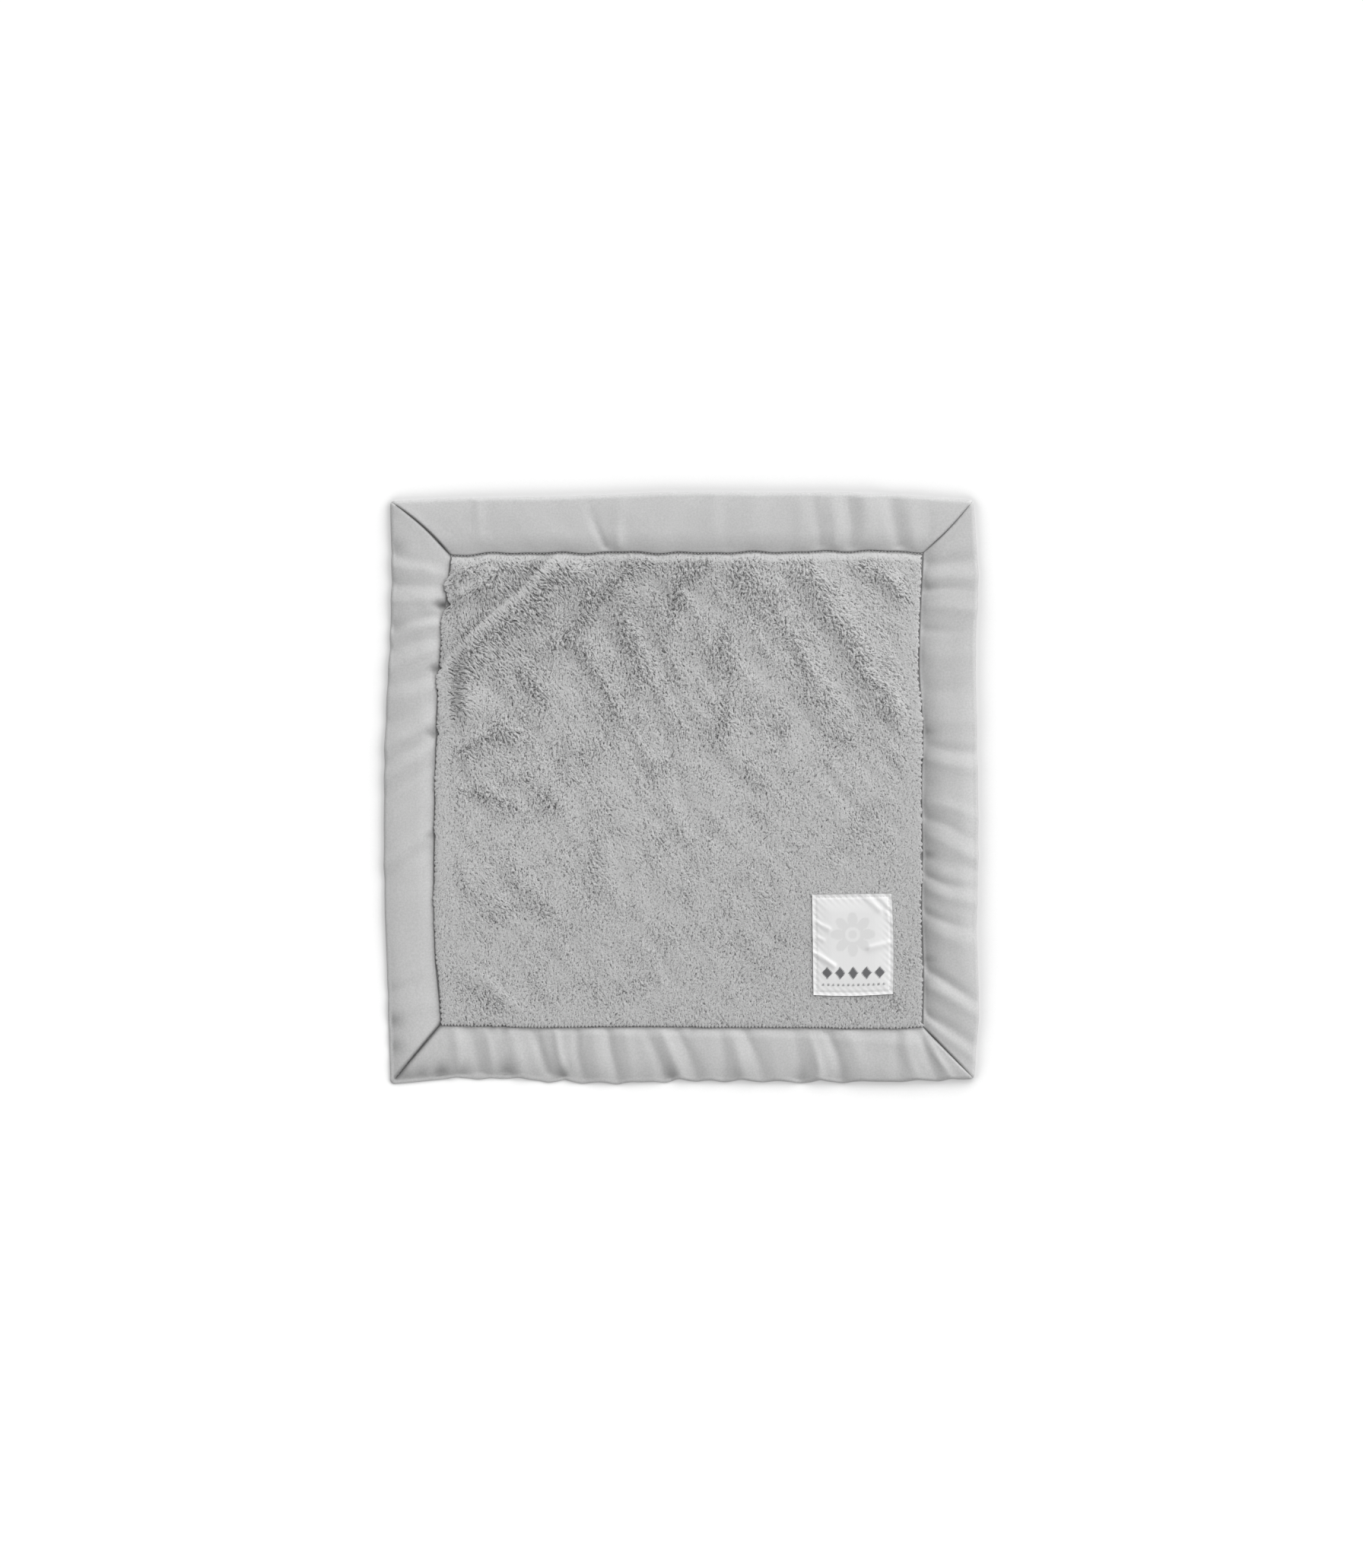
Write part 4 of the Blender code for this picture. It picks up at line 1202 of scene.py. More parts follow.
def comb_gaps(hair_nap, cell, opened, order, main, band, valley):
    """The hairs' combed grain, and the dark gaps where it passes a threshold."""
    short = SHORT_SHARE * combed_noise(hair_nap, cell, SHORT_GAP_LENGTH, 0)
    short += SPECK_SHARE * combed_noise(hair_nap, cell, 0.0, 0)
    long = combed_noise(hair_nap, cell, LONG_GAP_LENGTH, 0)
    coarse = combed_noise(hair_nap, cell, COARSE_GAP_LENGTH, COARSE_GAP_BLUR)
    long_share = np.clip(order + LONG_FROM_OPEN * (opened - LONG_OPEN_START), 0.0, 1.0)
    long_share *= at_least(LONG_ELSEWHERE, main)
    combed = (short * (1 - long_share) + long * long_share)
    combed /= np.hypot(1 - long_share, long_share)
    combed = FINE_SHARE * combed + (COARSE_SHARE + COARSE_FROM_OPEN * opened) * coarse
    threshold = GAP_THRESHOLD * (1 - opened) - GAP_VALLEY * valley + GAP_BAND * band
    softness = GAP_SOFTNESS + SOFT_FROM_OPEN * opened
    return combed, np.clip((combed - threshold) / softness, 0.0, 1.0)


def pile_level(x, y, lift, sunk, rims):
    """Height of the pile, round at three rims, with a groove at the top seam and pressed down
    under the label."""
    from_left, from_right, from_bottom, from_top = rims
    round_share = np.ones(x.shape)
    for away in (from_left, from_right, from_bottom):
        round_share *= np.sqrt(1 - (1 - np.minimum(away / RIM_ROUND, 1.0)) ** 2)
    groove = TOP_GROOVE + GROOVE_SWAY * line_noise(x.shape[0], GROOVE_WAVES)[:, None]
    rise = np.clip((from_top - groove) / TOP_RISE, 0.0, 1.0)
    rise = np.sqrt(1 - (1 - rise) ** 2)
    full = FRONT_PLUSH_BACKING_TOP + PILE_HEIGHT + lift
    rim_level = FRONT_SATIN_TOP + RIM_TOP
    lowest = FRONT_PLUSH_BACKING_TOP + LEAST_PILE
    z = rim_level + (full - rim_level) * round_share
    z = lowest + (z - lowest) * rise
    z -= sunk * at_least(RIM_SUNK, round_share) * at_least(GROOVE_SUNK, rise)
    pressed = LABEL_SEAT - LABEL_PRESS + PRESSED_SHARE * (z - LABEL_SEAT + PRESSED_OFF)
    z = z + (pressed - z) * smooth_step(-from_label(x, y) / PRESSED_EDGE)
    return np.maximum(z, lowest)


def overhang(x, y, rims):
    """Places of the pile with its tufts over the satin on three sides, and its top rim along
    the top seam."""
    from_left, from_right, from_bottom, from_top = rims
    count = len(x)
    left, right = rim_line("left", count), rim_line("right", count)
    bottom = rim_line("bottom", count)
    x = x - left[None, :] * np.clip(1 - from_left / RIM_PULL, 0.0, 1.0) ** 2
    x = x + right[None, :] * np.clip(1 - from_right / RIM_PULL, 0.0, 1.0) ** 2
    y = y - bottom[:, None] * np.clip(1 - from_bottom / RIM_PULL, 0.0, 1.0) ** 2
    return x, y + top_wobble(x) * np.clip(1 - from_top / TOP_PULL, 0.0, 1.0)


def area_painted_light(across, up):
    """Painted light and shade by area: lighter upper right, darker low down and top middle."""
    tone_and_painted_light = UPPER_RIGHT_LIGHT * rising(up, UPPER_LIGHT_RAMP) * rising(across, RIGHT_LIGHT_RAMP)
    tone_and_painted_light -= LOW_SHADE * rising(up, LOW_SHADE_RAMP)
    middle = rising(abs(across - UPPER_MIDDLE), MIDDLE_SHADE_RAMP)
    return tone_and_painted_light - UPPER_MIDDLE_SHADE * rising(up, TOP_SHADE_RAMP) * middle


def add_skirt(surface, count):
    """Points and faces of the pile with a skirt of two rings below its overhanging rim."""
    rim = rim_order(np.arange(count * count).reshape(count, count))
    inwards = -surface[rim] / np.linalg.norm(surface[rim, :2], axis=1)[:, None]
    tucked = surface[rim] + inwards * SKIRT_TUCK
    tucked[:, 2] = np.minimum(FRONT_SATIN_TOP + SKIRT_TUCK, surface[rim, 2] - LEAST_PILE)
    foot = surface[rim] + inwards * SKIRT_FOOT
    foot[:, 2] = FRONT_PLUSH_BACKING_TOP
    first_ring = len(surface) + np.arange(len(rim))
    second_ring = first_ring + len(rim)
    faces = [grid_faces(count - 1, count - 1)]
    for outer, inner in ((rim, first_ring), (first_ring, second_ring)):
        faces.append(np.stack((outer, inner, np.roll(inner, -1), np.roll(outer, -1)), axis=-1))
    return np.concatenate((surface, tucked, foot)), np.concatenate(faces)


def make_front_pile(material):
    across, up = square_grid(PILE_CELLS)
    x, y = warped(seam_line, across, up)
    cell = PLUSH_WIDTH / PILE_CELLS
    rims = (across * PLUSH_WIDTH, (1 - across) * PLUSH_WIDTH,
            up * PLUSH_DEPTH, (1 - up) * PLUSH_DEPTH)
    lift, opened, parted = folds_and_openness(x, y)
    band, valley, beside = main_flank(x, y)
    main = ridge_height(plush_points(CREST_SHARES[0][-1]), x, y, MAIN_LEFT, MAIN_RIGHT)
    main = np.clip(MAIN_GAIN * main, 0.0, 1.0)
    streaks = fold_streaks(beside, main, cell) * at_least(STREAK_LOW, rising(up, STREAK_RAMP))
    opened = pile_openness(x, y, opened, streaks, band, up, rims)
    far_in = away_from_rims(x, y, np.minimum.reduce(rims))
    lift = lift + STREAK_LIFT * streaks * far_in * (1 - band)

    nap, hair_nap, order = comb_nap(lift, parted, main, beside, across, up, rims, cell)
    turn = LOOSE_TURN + (LOCK_TURN - LOOSE_TURN) * order
    grow = GROW_CALM + GROW_OPEN * opened
    locks, bright = strokes(nap, turn, grow, LOCK_PITCH, LOCK_LENGTH, LOCK_HALF_WIDTH)
    clumps, _ = strokes(nap, CLUMP_TURN * turn, grow, CLUMP_PITCH, CLUMP_LENGTH,
                        CLUMP_HALF_WIDTH)
    combed, gaps = comb_gaps(hair_nap, cell, opened, order, main, band, valley)
    open_share = smooth_step((opened - CLUMP_START) / CLUMP_RANGE)
    sunk = LOCK_DEPTH * (1 - locks) * (LOCK_CALM + LOCK_OPEN * opened)
    sunk += CLUMP_DEPTH * (1 - clumps) ** CLUMP_POWER * open_share
    combed_share = np.clip(COMBED_LEAST + opened + COMBED_ORDER * order, 0.0, 1.0)
    sunk += (GAP_DEPTH * gaps + GRAIN_DEPTH * combed) * combed_share
    z = pile_level(x, y, lift, sunk, rims)
    x, y = overhang(x, y, rims)

    # Painted shade between the locks and clumps and in the gaps; grain and lock variety are random
    tone_and_painted_light = FULL_TONE - LOCK_SHADE * (1 - locks) * (SHADE_CALM + SHADE_OPEN * opened)
    parting = np.clip(1 - clumps, 0.0, CLUMP_SHADE_LIMIT)
    tone_and_painted_light -= CLUMP_SHADE * parting ** CLUMP_SHADE_POWER * open_share
    tone_and_painted_light -= (GAP_SHADE - GAP_SHADE_OPEN * opened) * gaps + GRAIN_SHADE * combed
    tone_and_painted_light += LOCK_VARIETY * bright * (VARIETY_CALM + opened)
    # Painted light on the main fold's band, painted shade in its valley, painted light and shade
    # by area
    tone_and_painted_light += BAND_LIGHT * band - VALLEY_SHADE * valley + area_painted_light(across, up)
    # Painted shade in the groove along the top seam
    tone_and_painted_light -= GROOVE_SHADE * smooth_step(1 - rims[3] / GROOVE_SHADE_REACH)

    points, faces = add_skirt(np.stack((x, y, z), axis=-1).reshape(-1, 3), PILE_CELLS + 1)
    pile = make_piece("front_pile", points, faces, material, True)
    # Painted shade on the skirt under the pile's overhanging rim
    skirt_painted_shade = np.repeat(SKIRT_PAINTED_SHADE, (len(points) - tone_and_painted_light.size) // 2)
    values = np.concatenate((tone_and_painted_light.ravel(), skirt_painted_shade))
    add_values(pile, "tone_and_painted_light", np.clip(values, 0.0, LIGHTEST_TONE))
    return pile


def make_ground(name, cells, underside, material):
    """Knitted backing of a plush square, from a function of its underside's height."""
    across, up = square_grid(cells)
    x, y = warped(seam_line, across, up, SEAM_ALLOWANCE)
    low = underside(x, y)
    points, faces = sheet_shell(x, y, low, low + BACKING_THICKNESS)
    return make_piece(name, points, faces, material, True)


def front_underside(x, y):
    return FRONT_PLUSH_UNDERSIDE + folds_and_openness(x, y)[0]


def back_underside(x, y):
    return np.full(x.shape, BACK_PLUSH_UNDERSIDE)


def make_back_pile(material):
    """Pile of the back square, pressed flat on the table."""
    across, up = square_grid(BACK_PILE_CELLS)
    x, y = warped(seam_line, across, up, -SEAM_GAP)
    nap_x = BACK_NAP_SWAY * smooth_noise(*x.shape, BACK_NAP_WAVES, BACK_NAP_WAVES)
    nap_y = -np.ones(x.shape)
    even = np.full(x.shape, BACK_LOCK_SIZE)
    locks, bright = strokes((nap_x, nap_y), LOCK_TURN * even, even, CLUMP_PITCH, CLUMP_LENGTH,
                            CLUMP_HALF_WIDTH)
    edge = np.minimum(np.minimum(across, 1 - across), np.minimum(up, 1 - up)) * PLUSH_WIDTH
    depth = BACK_PLUSH_UNDERSIDE * smooth_step(edge / BACK_RIM)
    z = BACK_PLUSH_UNDERSIDE - depth * at_least(BACK_PRESSED, locks)
    points = np.stack((x, y, z), axis=-1).reshape(-1, 3)
    faces = grid_faces(BACK_PILE_CELLS, BACK_PILE_CELLS)[:, ::-1]
    pile = make_piece("back_pile", points, faces, material, True)
    # Painted shade between the back pile's locks, and each lock's own random variety
    tone_and_painted_light = BACK_TONE - BACK_LOCK_SHADE * (1 - locks) + LOCK_VARIETY * bright
    add_values(pile, "tone_and_painted_light", tone_and_painted_light)
    return pile


# Satin borders

STRIP_CORNERS = {"bottom": ((0, 0), (1, 0)), "right": ((1, 0), (1, 1)),
                 "top": ((0, 1), (1, 1)), "left": ((0, 0), (0, 1))}


def side_run(side):
    return 2 * (reach("right") if side in ("bottom", "top") else reach("top"))


def ridges(side, run_place, share):
    """Height shares of the satin's ridges at places along a side and shares to the seam."""
    total = np.zeros(np.broadcast(run_place, share).shape)
    for seam_place, edge_place, seam_height, edge_height, spread_share in RIDGE_SHARES[side]:
        centre = edge_place + (seam_place - edge_place) * share
        height = edge_height + (seam_height - edge_height) * share
        spread = RIDGE_SPREAD * spread_share * (RIDGE_WIDEST - RIDGE_NARROWING * share)
        away = (run_place - centre) * side_run(side) / spread
        blunted = np.sqrt(away ** 2 + RIDGE_ROUND ** 2) - RIDGE_ROUND
        crisp = np.exp(-RIDGE_FALL * blunted)
        total += height * (RIDGE_CRISP * crisp + (1 - RIDGE_CRISP) * np.exp(-away ** 2))
    return RIDGE_SCALE[side] * total


def front_level(side, place, from_seam_share):
    """Height of a strip's front without its ridges, from the seam to the outer fold."""
    crown = FRONT_CROWN * along(CROWN_SHARES[side], place)
    fold_top = FRONT_CROWN * along(FOLD_TOP_SHARES[side], place)
    crown_place = along(CROWN_PLACES[side], place)
    inside = np.clip(1 - from_seam_share / crown_place, 0.0, 1.0)
    past = np.clip((from_seam_share - crown_place) / (1 - crown_place), 0.0, 1.0)
    rise = FRONT_SATIN_TOP + (crown - FRONT_SATIN_TOP) * (1 - inside ** SEAM_CURVE[side])
    return rise - (crown - fold_top) * past ** FOLD_CURVE[side]


def side_points(side, line, place):
    still = {"bottom": 0.0, "right": 1.0, "top": 1.0, "left": 0.0}[side]
    fixed = np.full(place.shape, still)
    across, up = (place, fixed) if side in ("bottom", "top") else (fixed, place)
    return np.stack(warped(line, across, up), axis=-1)


def make_border(side, material):
    end = END_SHARE * np.linspace(0.0, 1.0, END_CELLS + 1)[:-1] ** END_CROWDING
    middle = np.linspace(END_SHARE, 1 - END_SHARE, STRIP_CELLS + 1 - 2 * END_CELLS)
    place = np.concatenate((end, middle, 1 - end[::-1]))
    outer = side_points(side, edge_line, place)
    inner = side_points(side, seam_line, place)
    axis = 0 if side in ("bottom", "top") else 1
    outwards = 1.0 if side in ("right", "top") else -1.0
    run = side_run(side)
    if side == "top":
        inner[:, 1] += top_wobble(inner[:, 0])

    # Calm near the mitres, so that neighbouring strips meet at one height
    from_mitre = np.minimum(place, 1 - place) * run
    calm = smooth_step((from_mitre - MITRE_CALM_START) / MITRE_CALM)
    fold_share = FOLD_OUTER_RADIUS / BORDER_WIDTH
    step = np.linspace(0.0, 1.0, FRONT_CELLS + 1)
    share = 1 - (1 - fold_share) * step
    wide_share, wide_place = share[None, :], place[:, None]
    along_side = outer[:, None, axis] + (inner - outer)[:, None, axis] * wide_share
    warp = smooth_noise(STRIP_CELLS + 1, FRONT_CELLS + 1, run / RIDGE_WARP_PITCH, 2)
    run_place = 0.5 + (along_side + RIDGE_WARP * warp) / run
    wave = ridges(side, run_place, wide_share) * calm[:, None]
    edge_wave = np.clip(wave[:, -1], -EDGE_RIDGE_LIMIT, EDGE_RIDGE_LIMIT)
    outer[:, 1 - axis] += outwards * EDGE_FROM_RIDGE[side] * edge_wave

    # Rounded corner, and a gap for the mitre seam
    corner_share = CORNER_RADIUS * (1 - math.sqrt(0.5))
    from_corner = np.maximum(from_mitre, corner_share)
    towards_middle = np.where(place < 0.5, 1.0, -1.0)
    outer[:, axis] += towards_middle * (from_corner - from_mitre)
    cut = np.maximum(CORNER_RADIUS - from_corner, 0.0)
    rounding = CORNER_RADIUS - np.sqrt(CORNER_RADIUS ** 2 - cut ** 2)
    outer[:, 1 - axis] -= outwards * rounding
    drawn_in = SEAM_GAP * math.sqrt(0.5)
    for end_index, sign in ((0, 1.0), (-1, -1.0)):
        outer[end_index, axis] += sign * drawn_in
        inner[end_index, axis] += sign * drawn_in

    from_seam = (1 - wide_share) * BORDER_WIDTH
    lip = 1 - np.exp(-from_seam / SEAM_CALM)
    wave = wave * smooth_step(from_seam / SEAM_CALM)
    fine = smooth_noise(STRIP_CELLS + 1, FRONT_CELLS + 1, run / FINE_WRINKLE_PITCH, 3)
    fine += 0.5 * smooth_noise(STRIP_CELLS + 1, FRONT_CELLS + 1, 2 * run / FINE_WRINKLE_PITCH, 4)
    swell = smooth_noise(STRIP_CELLS + 1, FRONT_CELLS + 1, run / SWELL_PITCH, 2)
    past_lip = np.maximum(from_seam - LIP_FLAT[side], 0.0) / (BORDER_WIDTH - LIP_FLAT[side])
    front = front_level(side, wide_place, past_lip / (1 - fold_share))
    front = front + RIDGE_HEIGHT * wave
    front = front + (FINE_WRINKLE * fine + SWELL_HEIGHT * swell) * lip * calm[:, None]
    mitre_line = np.minimum(wide_place, 1 - wide_place) * (run - 2 * BORDER_WIDTH * wide_share)
    dip_share = np.clip(MITRE_DIP_RISE * wide_share * (1 - wide_share), 0.0, 1.0)
    front = front - MITRE_DIP * bell(mitre_line, MITRE_REACH) * dip_share
    # Painted sheen of each strip, then painted shade in tucks, sunk places and along the mitres
    painted_satin_shade = np.full(front.shape, STRIP_PAINTED_SHEEN[side])
    for tuck_place, depth in NOTCH_SHARES.get(side, ()):
        tuck_centre = side_points(side, seam_line, np.array([tuck_place]))[0, axis]
        off = (along_side - tuck_centre) / TUCK_SPREAD
        tuck = depth * np.exp(-off ** 2 - (from_seam / TUCK_REACH) ** 2)
        front = front - TUCK_DEPTH * tuck
        # Painted shade in the tuck
        painted_satin_shade = painted_satin_shade - TUCK_SHADE * tuck
    from_fold = BORDER_WIDTH - from_seam
    for tuck_place, depth in OUTER_TUCK_SHARES.get(side, ()):
        off = (0.5 + along_side / run - tuck_place) * run / OUTER_TUCK_SPREAD
        tuck = depth * np.exp(-off ** 2 - (from_fold / OUTER_TUCK_REACH) ** 2)
        front = front - OUTER_TUCK_DEPTH * tuck
        # Painted shade in the sunk place
        painted_satin_shade = painted_satin_shade - OUTER_TUCK_SHADE * tuck
    # Painted shade along the mitre seams
    for end_index, corner in enumerate(STRIP_CORNERS[side]):
        away = (wide_place if end_index == 0 else 1 - wide_place)
        away = away * (run - 2 * BORDER_WIDTH * wide_share) / math.sqrt(2)
        painted_satin_shade = painted_satin_shade - MITRE_SHADE * bell(away, MITRE_WIDTHS[corner])
    lowest = FRONT_SATIN_TOP - 0.5 * SATIN_THICKNESS
    sink = smooth_step((from_seam - SEAM_ALLOWANCE) / SINK_REACH)
    front = np.maximum(front, lowest - (lowest - LOWEST_FOLD) * sink)

    # The fold is half an ellipse from the front down to the table
    angles = np.linspace(0.0, math.pi, FOLD_CELLS + 2)[1:]
    fold_height = front[:, -1]
    half = fold_height[:, None] / 2
    fold_share_at = fold_share * (1 - np.sin(angles))[None, :] + np.zeros_like(half)
    fold_z = half + half * np.cos(angles)[None, :]
    back_share = np.linspace(fold_share, 1.0, BACK_CELLS + 1)[1:][None, :] + np.zeros_like(half)
    back_z = np.zeros_like(back_share)
    front_share = wide_share + np.zeros_like(front)
    outside_share = np.concatenate((front_share, fold_share_at, back_share), axis=1)
    outside_z = np.concatenate((front, fold_z, back_z), axis=1)

    # Inside face, a cloth's thickness further in
    inside_fold_share = fold_share - (fold_share - SATIN_THICKNESS / BORDER_WIDTH) * np.sin(
        angles)[None, :] + np.zeros_like(half)
    inside_fold_z = half + (half - SATIN_THICKNESS) * np.cos(angles)[None, :]
    inside_share = np.concatenate((front_share, inside_fold_share, back_share), axis=1)
    inside_z = np.concatenate(
        (front - SATIN_THICKNESS, inside_fold_z, back_z + SATIN_THICKNESS), axis=1)
    ring_share = np.concatenate((outside_share, inside_share[:, ::-1]), axis=1)
    ring_z = np.concatenate((outside_z, inside_z[:, ::-1]), axis=1)
    x = outer[:, None, 0] + (inner[:, None, 0] - outer[:, None, 0]) * ring_share
    y = outer[:, None, 1] + (inner[:, None, 1] - outer[:, None, 1]) * ring_share
    for end_index, corner in enumerate(STRIP_CORNERS[side]):
        away = place if end_index == 0 else 1 - place
        fade = bell(away * run, BOW_REACH)[:, None] * np.sin(math.pi * ring_share)
        x = x + MITRE_BOWS[corner][0] * fade
        y = y + MITRE_BOWS[corner][1] * fade
    points = np.stack((x, y, ring_z), axis=-1).reshape(-1, 3)
    around = ring_share.shape[1]
    start = np.arange(STRIP_CELLS)[:, None] * around + np.arange(around)[None, :]
    turned = np.arange(STRIP_CELLS)[:, None] * around + np.roll(np.arange(around), -1)[None, :]
    faces = np.stack((start, start + around, turned + around, turned), axis=-1).reshape(-1, 4)
    half_ring = around // 2
    cap = np.arange(half_ring - 1)
    first_cap = np.stack((cap, cap + 1, around - 2 - cap, around - 1 - cap), axis=-1)
    last_cap = first_cap[:, ::-1] + STRIP_CELLS * around
    faces = np.concatenate((faces, first_cap, last_cap))
    if side in ("bottom", "right"):
        faces = faces[:, ::-1]
    strip = make_piece("satin_" + side, points, faces, material)
    # The fold and the back keep only the strip's painted sheen
    shade = np.full(ring_share.shape, STRIP_PAINTED_SHEEN[side])
    shade[:, :front.shape[1]] = np.clip(painted_satin_shade, 0.0, 1.0)
    add_values(strip, "painted_satin_shade", shade.ravel())
    return strip


# Label

def label_material():
    material, nodes, links = new_material("woven_label", Roughness=0.36, Specular_IOR_Level=0.35)
    printed = attribute_value(nodes, "print")
    pale = mix_colours(nodes, links, printed, LABEL_WHITE, LABEL_PALE)
    inked = attribute_value(nodes, "ink")
    colour = mix_colours(nodes, links, inked, pale, LABEL_INK)
    weave = object_texture(nodes, links, "ShaderNodeTexWave", Scale=520.0)
    finish_surface(nodes, links, colour, weave, strength=0.08, distance=0.0001)
    return material


def label_places():
    across = np.linspace(0.0, 1.0, LABEL_COLUMNS + 1)
    up = np.linspace(0.0, 1.0, LABEL_ROWS + 1)
    return np.meshgrid(across, up, indexing="ij")


def turned_to_label(x, y):
    """Points of the label's own plane, turned and moved to their place on the blanket."""
    label_x, label_y = label_centre()
    cos, sin = math.cos(LABEL_TILT), math.sin(LABEL_TILT)
    return label_x + x * cos - y * sin, label_y + x * sin + y * cos


def label_height(x, y):
    """Height of the label's underside above its seat, with creases and puckers."""
    height = np.zeros(x.shape)
    for start_x, start_y, end_x, end_y, height_share, spread_share in LABEL_CREASES:
        points = [((start_x - 0.5) * LABEL_WIDTH, (start_y - 0.5) * LABEL_HEIGHT),
                  ((end_x - 0.5) * LABEL_WIDTH, (end_y - 0.5) * LABEL_HEIGHT)]
        spread = CREASE_SPREAD * spread_share
        crease = ridge_height(points, x, y, spread * CREASE_STEEP, spread)
        height += height_share * CREASE_HEIGHT * crease
    inset = np.minimum(LABEL_WIDTH / 2 - np.abs(x), LABEL_HEIGHT / 2 - np.abs(y))
    side_wave = np.sin(2 * math.pi * (x + y) / PUCKER_PITCH)
    height += PUCKER_HEIGHT * (0.5 + 0.5 * side_wave) * bell(inset, PUCKER_REACH)
    height -= STITCH_DEPTH * bell(inset - STITCH_INSET, STITCH_WIDTH)
    return height + LABEL_CROWN * smooth_step(inset / LABEL_CROWN_REACH)


def label_print(x, y):
    """Petals in a ring with a round middle, in pale print."""
    from_middle = y - RING_CENTRE
    radius = np.hypot(x, from_middle)
    wave = np.abs(np.cos(PETALS / 2 * np.arctan2(from_middle, x))) ** PETAL_POWER
    outer = RING_RADIUS * at_least(PETAL_ROOT, wave)
    ring = smooth_step((outer - radius) / PRINT_EDGE)
    ring *= smooth_step((radius - RING_HOLE) / PRINT_EDGE)
    return np.maximum(ring, smooth_step((RING_MIDDLE - radius) / PRINT_EDGE))


def from_mark(x, pitch):
    """Distance across from the nearest mark of a row."""
    return np.abs((x / pitch + 0.5) % 1.0 - 0.5) * pitch


def label_ink(x, y):
    """A row of diamonds and a row of dots, in dark ink."""
    diamond = 1 - from_mark(x, DIAMOND_PITCH) / DIAMOND_HALF_WIDTH
    diamond = diamond - np.abs(y - DIAMOND_ROW) / DIAMOND_HALF_HEIGHT
    diamonds = smooth_step(diamond / DIAMOND_EDGE) * (np.abs(x) < ROW_HALF_LENGTH)
    dot = np.hypot(from_mark(x, DOT_PITCH), y - DOT_ROW)
    dots = DOT_INK * smooth_step((DOT_RADIUS - dot) / DOT_EDGE)
    return np.maximum(diamonds, dots * (np.abs(x) < ROW_HALF_LENGTH))


def make_label(material):
    across, up = label_places()
    x = (across - 0.5) * LABEL_WIDTH
    y = (up - 0.5) * LABEL_HEIGHT
    bowed_x = x + LABEL_BOW * np.sin(math.pi * up) * (across > 0.5) * (2 * across - 1)
    bowed_y = y - LABEL_BOW * np.sin(math.pi * across) * (1 - up)
    low = LABEL_SEAT + label_height(x, y)
    world_x, world_y = turned_to_label(bowed_x, bowed_y)
    points, faces = sheet_shell(world_x, world_y, low, low + LABEL_THICKNESS)
    label = make_piece("label_patch", points, faces, material, True)
    add_values(label, "print", np.tile(label_print(x, y).ravel(), 2))
    add_values(label, "ink", np.tile(label_ink(x, y).ravel(), 2))
    return label


# Threads

def make_stitches(name, centres, headings, length, material):
    """Row of small arched stitches of one length, as one mesh of closed tubes."""
    rings, sides = STITCH_RINGS, STITCH_SIDES
    angle = np.arange(sides) * 2 * math.pi / sides
    points = []
    for centre, heading in zip(np.asarray(centres), headings):
        forward = np.array((math.cos(heading), math.sin(heading), 0.0))
        aside = np.array((-forward[1], forward[0], 0.0))
        for share in np.linspace(-1.0, 1.0, rings):
            girth = THREAD_RADIUS * math.sqrt(max(1 - END_TAPER * share ** 2, LEAST_GIRTH))
            spine = centre + forward * share * length / 2
            spine[2] += THREAD_RADIUS * (1 - 2 * share ** 2)
            ring = spine + girth * np.outer(np.cos(angle), aside)
            ring[:, 2] += girth * np.sin(angle)
            points.append(ring)
    faces = []
    for corner in range(0, (rings - 1) * sides, sides):
        for side in range(sides):
            following = (side + 1) % sides
            faces.append((corner + side, corner + following, corner + sides + following,
                          corner + sides + side))
    for corner in (0, (rings - 1) * sides):
        for quad in ((0, 1, 2, 3), (0, 3, 4, 5)):
            ends = [corner + item for item in quad]
            faces.append(tuple(ends if corner else ends[::-1]))
    starts = rings * sides * np.arange(len(centres))
    faces = np.array(faces)[None, :, :] + starts[:, None, None]
    return make_piece(name, np.concatenate(points), faces.reshape(-1, 4), material)


def make_seam_stitches(material):
    centres, headings = [], []
    for side in SIDES:
        level = side in ("bottom", "top")
        run = PLUSH_WIDTH if level else PLUSH_DEPTH
        count = int(run / SEAM_STITCH_PITCH)
        spots = side_points(side, seam_line, (np.arange(count) + 0.5) / count)
        inset = TOP_STITCH_INSET if side == "top" else SEAM_STITCH_INSET
        spots[:, 1 if level else 0] -= inset if side in ("right", "top") else -inset
        if side == "top":
            spots[:, 1] += top_wobble(spots[:, 0])
        for spot in spots:
            centres.append((*spot, FRONT_PLUSH_BACKING_TOP + SEAM_STITCH_LIFT))
            headings.append(0.0 if level else math.pi / 2)
    return make_stitches("seam_stitches", centres, headings, SEAM_STITCH_LENGTH, material)


def make_mitre_stitches(material):
    centres, headings = [], []
    for corner, bow in MITRE_BOWS.items():
        side = "bottom" if corner[1] == 0 else "top"
        ends = (np.array([float(corner[0])]), np.array([float(corner[1])]))
        outer = np.array(warped(edge_line, *ends))[:, 0]
        inner = np.array(warped(seam_line, *ends))[:, 0]
        run = inner - outer
        count = int(math.hypot(*run) / MITRE_STITCH_PITCH)
        for number in range(2, count):
            share = number / count
            spot = outer + run * share + np.array(bow) * math.sin(math.pi * share)
            height = front_level(side, ends[0], 1 - share)[0] - MITRE_DIP - MITRE_STITCH_DEPTH
            centres.append((*spot, height))
            headings.append(math.atan2(run[1], run[0]))
    return make_stitches("mitre_stitches", centres, headings, MITRE_STITCH_LENGTH, material)


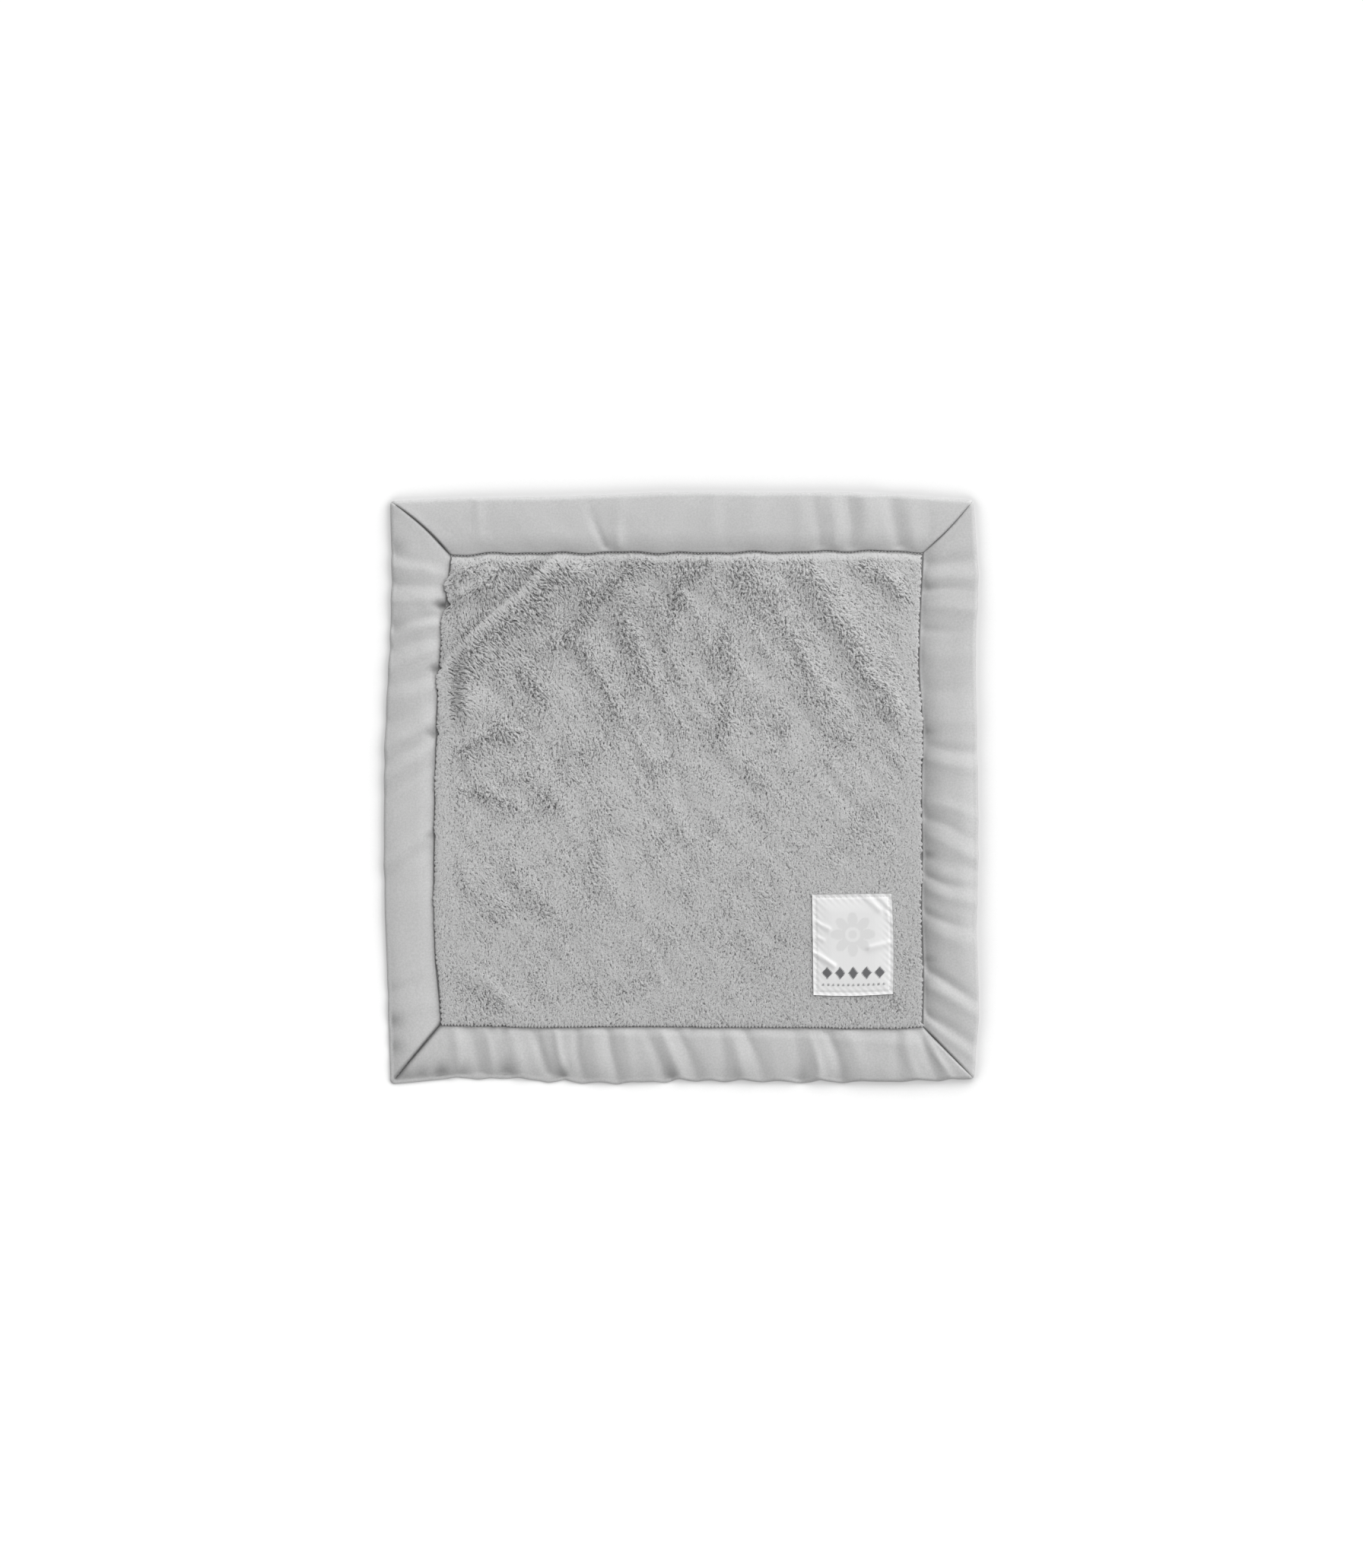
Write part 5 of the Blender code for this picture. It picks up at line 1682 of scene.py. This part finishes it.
def make_label_stitches(material):
    half_x = LABEL_WIDTH / 2 - STITCH_INSET
    half_y = LABEL_HEIGHT / 2 - STITCH_INSET
    corners = ((-half_x, half_y), (half_x, half_y), (half_x, -half_y), (-half_x, -half_y))
    centres, headings = [], []
    for (start_x, start_y), (end_x, end_y) in zip(corners, corners[1:] + corners[:1]):
        length = math.hypot(end_x - start_x, end_y - start_y)
        count = int(length / LABEL_STITCH_PITCH)
        share = (np.arange(count) + 0.5) / count
        x = start_x + (end_x - start_x) * share
        y = start_y + (end_y - start_y) * share
        z = LABEL_SEAT + LABEL_THICKNESS + label_height(x, y)
        world_x, world_y = turned_to_label(x, y)
        centres += list(zip(world_x, world_y, z))
        headings += [math.atan2(end_y - start_y, end_x - start_x) + LABEL_TILT] * count
    return make_stitches("label_stitches", centres, headings, LABEL_STITCH_LENGTH, material)


# Pieces, each standing for its CAD nodes

plush = plush_material()
satin = satin_material()
knit = plain_material("knit_backing", KNIT_GREY, 0.95)
grey_thread = plain_material("grey_thread", THREAD_GREY, 0.6)
white_thread = plain_material("white_thread", THREAD_WHITE, 0.5)

front_ground = make_ground("front_ground", FRONT_GROUND_CELLS, front_underside, knit)
front_pile = make_front_pile(plush)
back_ground = make_ground("back_ground", BACK_GROUND_CELLS, back_underside, knit)
back_pile = make_back_pile(plush)
strips = {side: make_border(side, satin) for side in SIDES}
label = make_label(label_material())
seam_stitches = make_seam_stitches(white_thread)
mitre_stitches = make_mitre_stitches(grey_thread)
label_stitches = make_label_stitches(white_thread)

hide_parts("front_plush_panel")
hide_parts("front_plush_panel")
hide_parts("back_plush_panel")
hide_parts("back_plush_panel")
for side in SIDES:
    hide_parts("border_" + side)
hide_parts("label")
pieces = [front_ground, front_pile, back_ground, back_pile, label]
pieces += [seam_stitches, mitre_stitches, label_stitches, *strips.values()]
for piece in pieces:
    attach(piece, "root")


# Floor, light and camera

def math_node(nodes, links, operation, first, second):
    """Value from a socket and from another socket or a number."""
    node = add_node(nodes, "ShaderNodeMath", operation=operation)
    links.new(first, node.inputs[0])
    if isinstance(second, float):
        node.inputs[1].default_value = second
    else:
        links.new(second, node.inputs[1])
    return node.outputs["Value"]


def seen_rays(nodes, links):
    """1 for camera, glossy and transmission rays, which show the white background."""
    path = nodes.new("ShaderNodeLightPath").outputs
    either = math_node(nodes, links, "MAXIMUM", path["Is Camera Ray"], path["Is Glossy Ray"])
    return math_node(nodes, links, "MAXIMUM", either, path["Is Transmission Ray"])


def make_floor():
    """White floor that keeps the blanket's shadow and its soft contact shade."""
    corners = ((-1, -1), (1, -1), (1, 1), (-1, 1))
    points = np.array([(FLOOR_HALF * x, FLOOR_HALF * y, FLOOR_LEVEL) for x, y in corners])
    material, nodes, links = new_material("floor_white", Base_Color=FLOOR_WHITE, Roughness=1.0,
                                          Specular_IOR_Level=0.0)
    contact = add_node(nodes, "ShaderNodeAmbientOcclusion", samples=16, Distance=CONTACT_REACH)
    deeper = math_node(nodes, links, "POWER", contact.outputs["AO"], CONTACT_POWER)
    softer = math_node(nodes, links, "MAXIMUM", deeper, CONTACT_DARKEST)
    glow = add_node(nodes, "ShaderNodeEmission", Strength=GLOW_STRENGTH)
    links.new(softer, glow.inputs["Color"])
    part = math_node(nodes, links, "MULTIPLY", seen_rays(nodes, links), GLOW_SHARE)
    blend = nodes.new("ShaderNodeMixShader")
    links.new(part, blend.inputs["Fac"])
    links.new(nodes["Principled BSDF"].outputs["BSDF"], blend.inputs[1])
    links.new(glow.outputs["Emission"], blend.inputs[2])
    links.new(blend.outputs["Shader"], nodes["Material Output"].inputs["Surface"])
    floor = make_piece("floor", points, np.array(((0, 1, 2, 3),)), material)


def make_light():
    world = bpy.data.worlds.new("studio")
    bpy.context.scene.world = world
    world.use_nodes = True
    nodes, links = world.node_tree.nodes, world.node_tree.links
    dim = nodes["Background"]
    white = nodes.new("ShaderNodeBackground")
    for background, strength in ((dim, WORLD_LIGHT), (white, 1.0)):
        background.inputs["Color"].default_value = (1.0, 1.0, 1.0, 1.0)
        background.inputs["Strength"].default_value = strength
    mix = nodes.new("ShaderNodeMixShader")
    links.new(seen_rays(nodes, links), mix.inputs["Fac"])
    links.new(dim.outputs["Background"], mix.inputs[1])
    links.new(white.outputs["Background"], mix.inputs[2])
    links.new(mix.outputs["Shader"], nodes["World Output"].inputs["Surface"])
    lamp = bpy.data.lights.new("key", "SUN")
    lamp.angle = KEY_ANGLE
    lamp.energy = KEY_ENERGY
    key = bpy.data.objects.new("key", lamp)
    key.rotation_mode = "QUATERNION"
    key.rotation_quaternion = Vector(KEY_DIRECTION).to_track_quat("-Z", "Y")
    bpy.context.scene.collection.objects.link(key)


def make_camera():
    """Camera straight above the blanket, looking down."""
    lens = bpy.data.cameras.new("camera")
    lens.sensor_width = CAMERA_SENSOR
    lens.lens = CAMERA_LENS
    lens.clip_end = CAMERA_RANGE
    camera = bpy.data.objects.new("camera", lens)
    camera.location = CAMERA_PLACE
    camera.rotation_euler = (0.0, 0.0, 0.0)
    bpy.context.scene.collection.objects.link(camera)
    bpy.context.scene.camera = camera


make_floor()
make_light()
make_camera()
bpy.context.scene.view_settings.view_transform = "Standard"
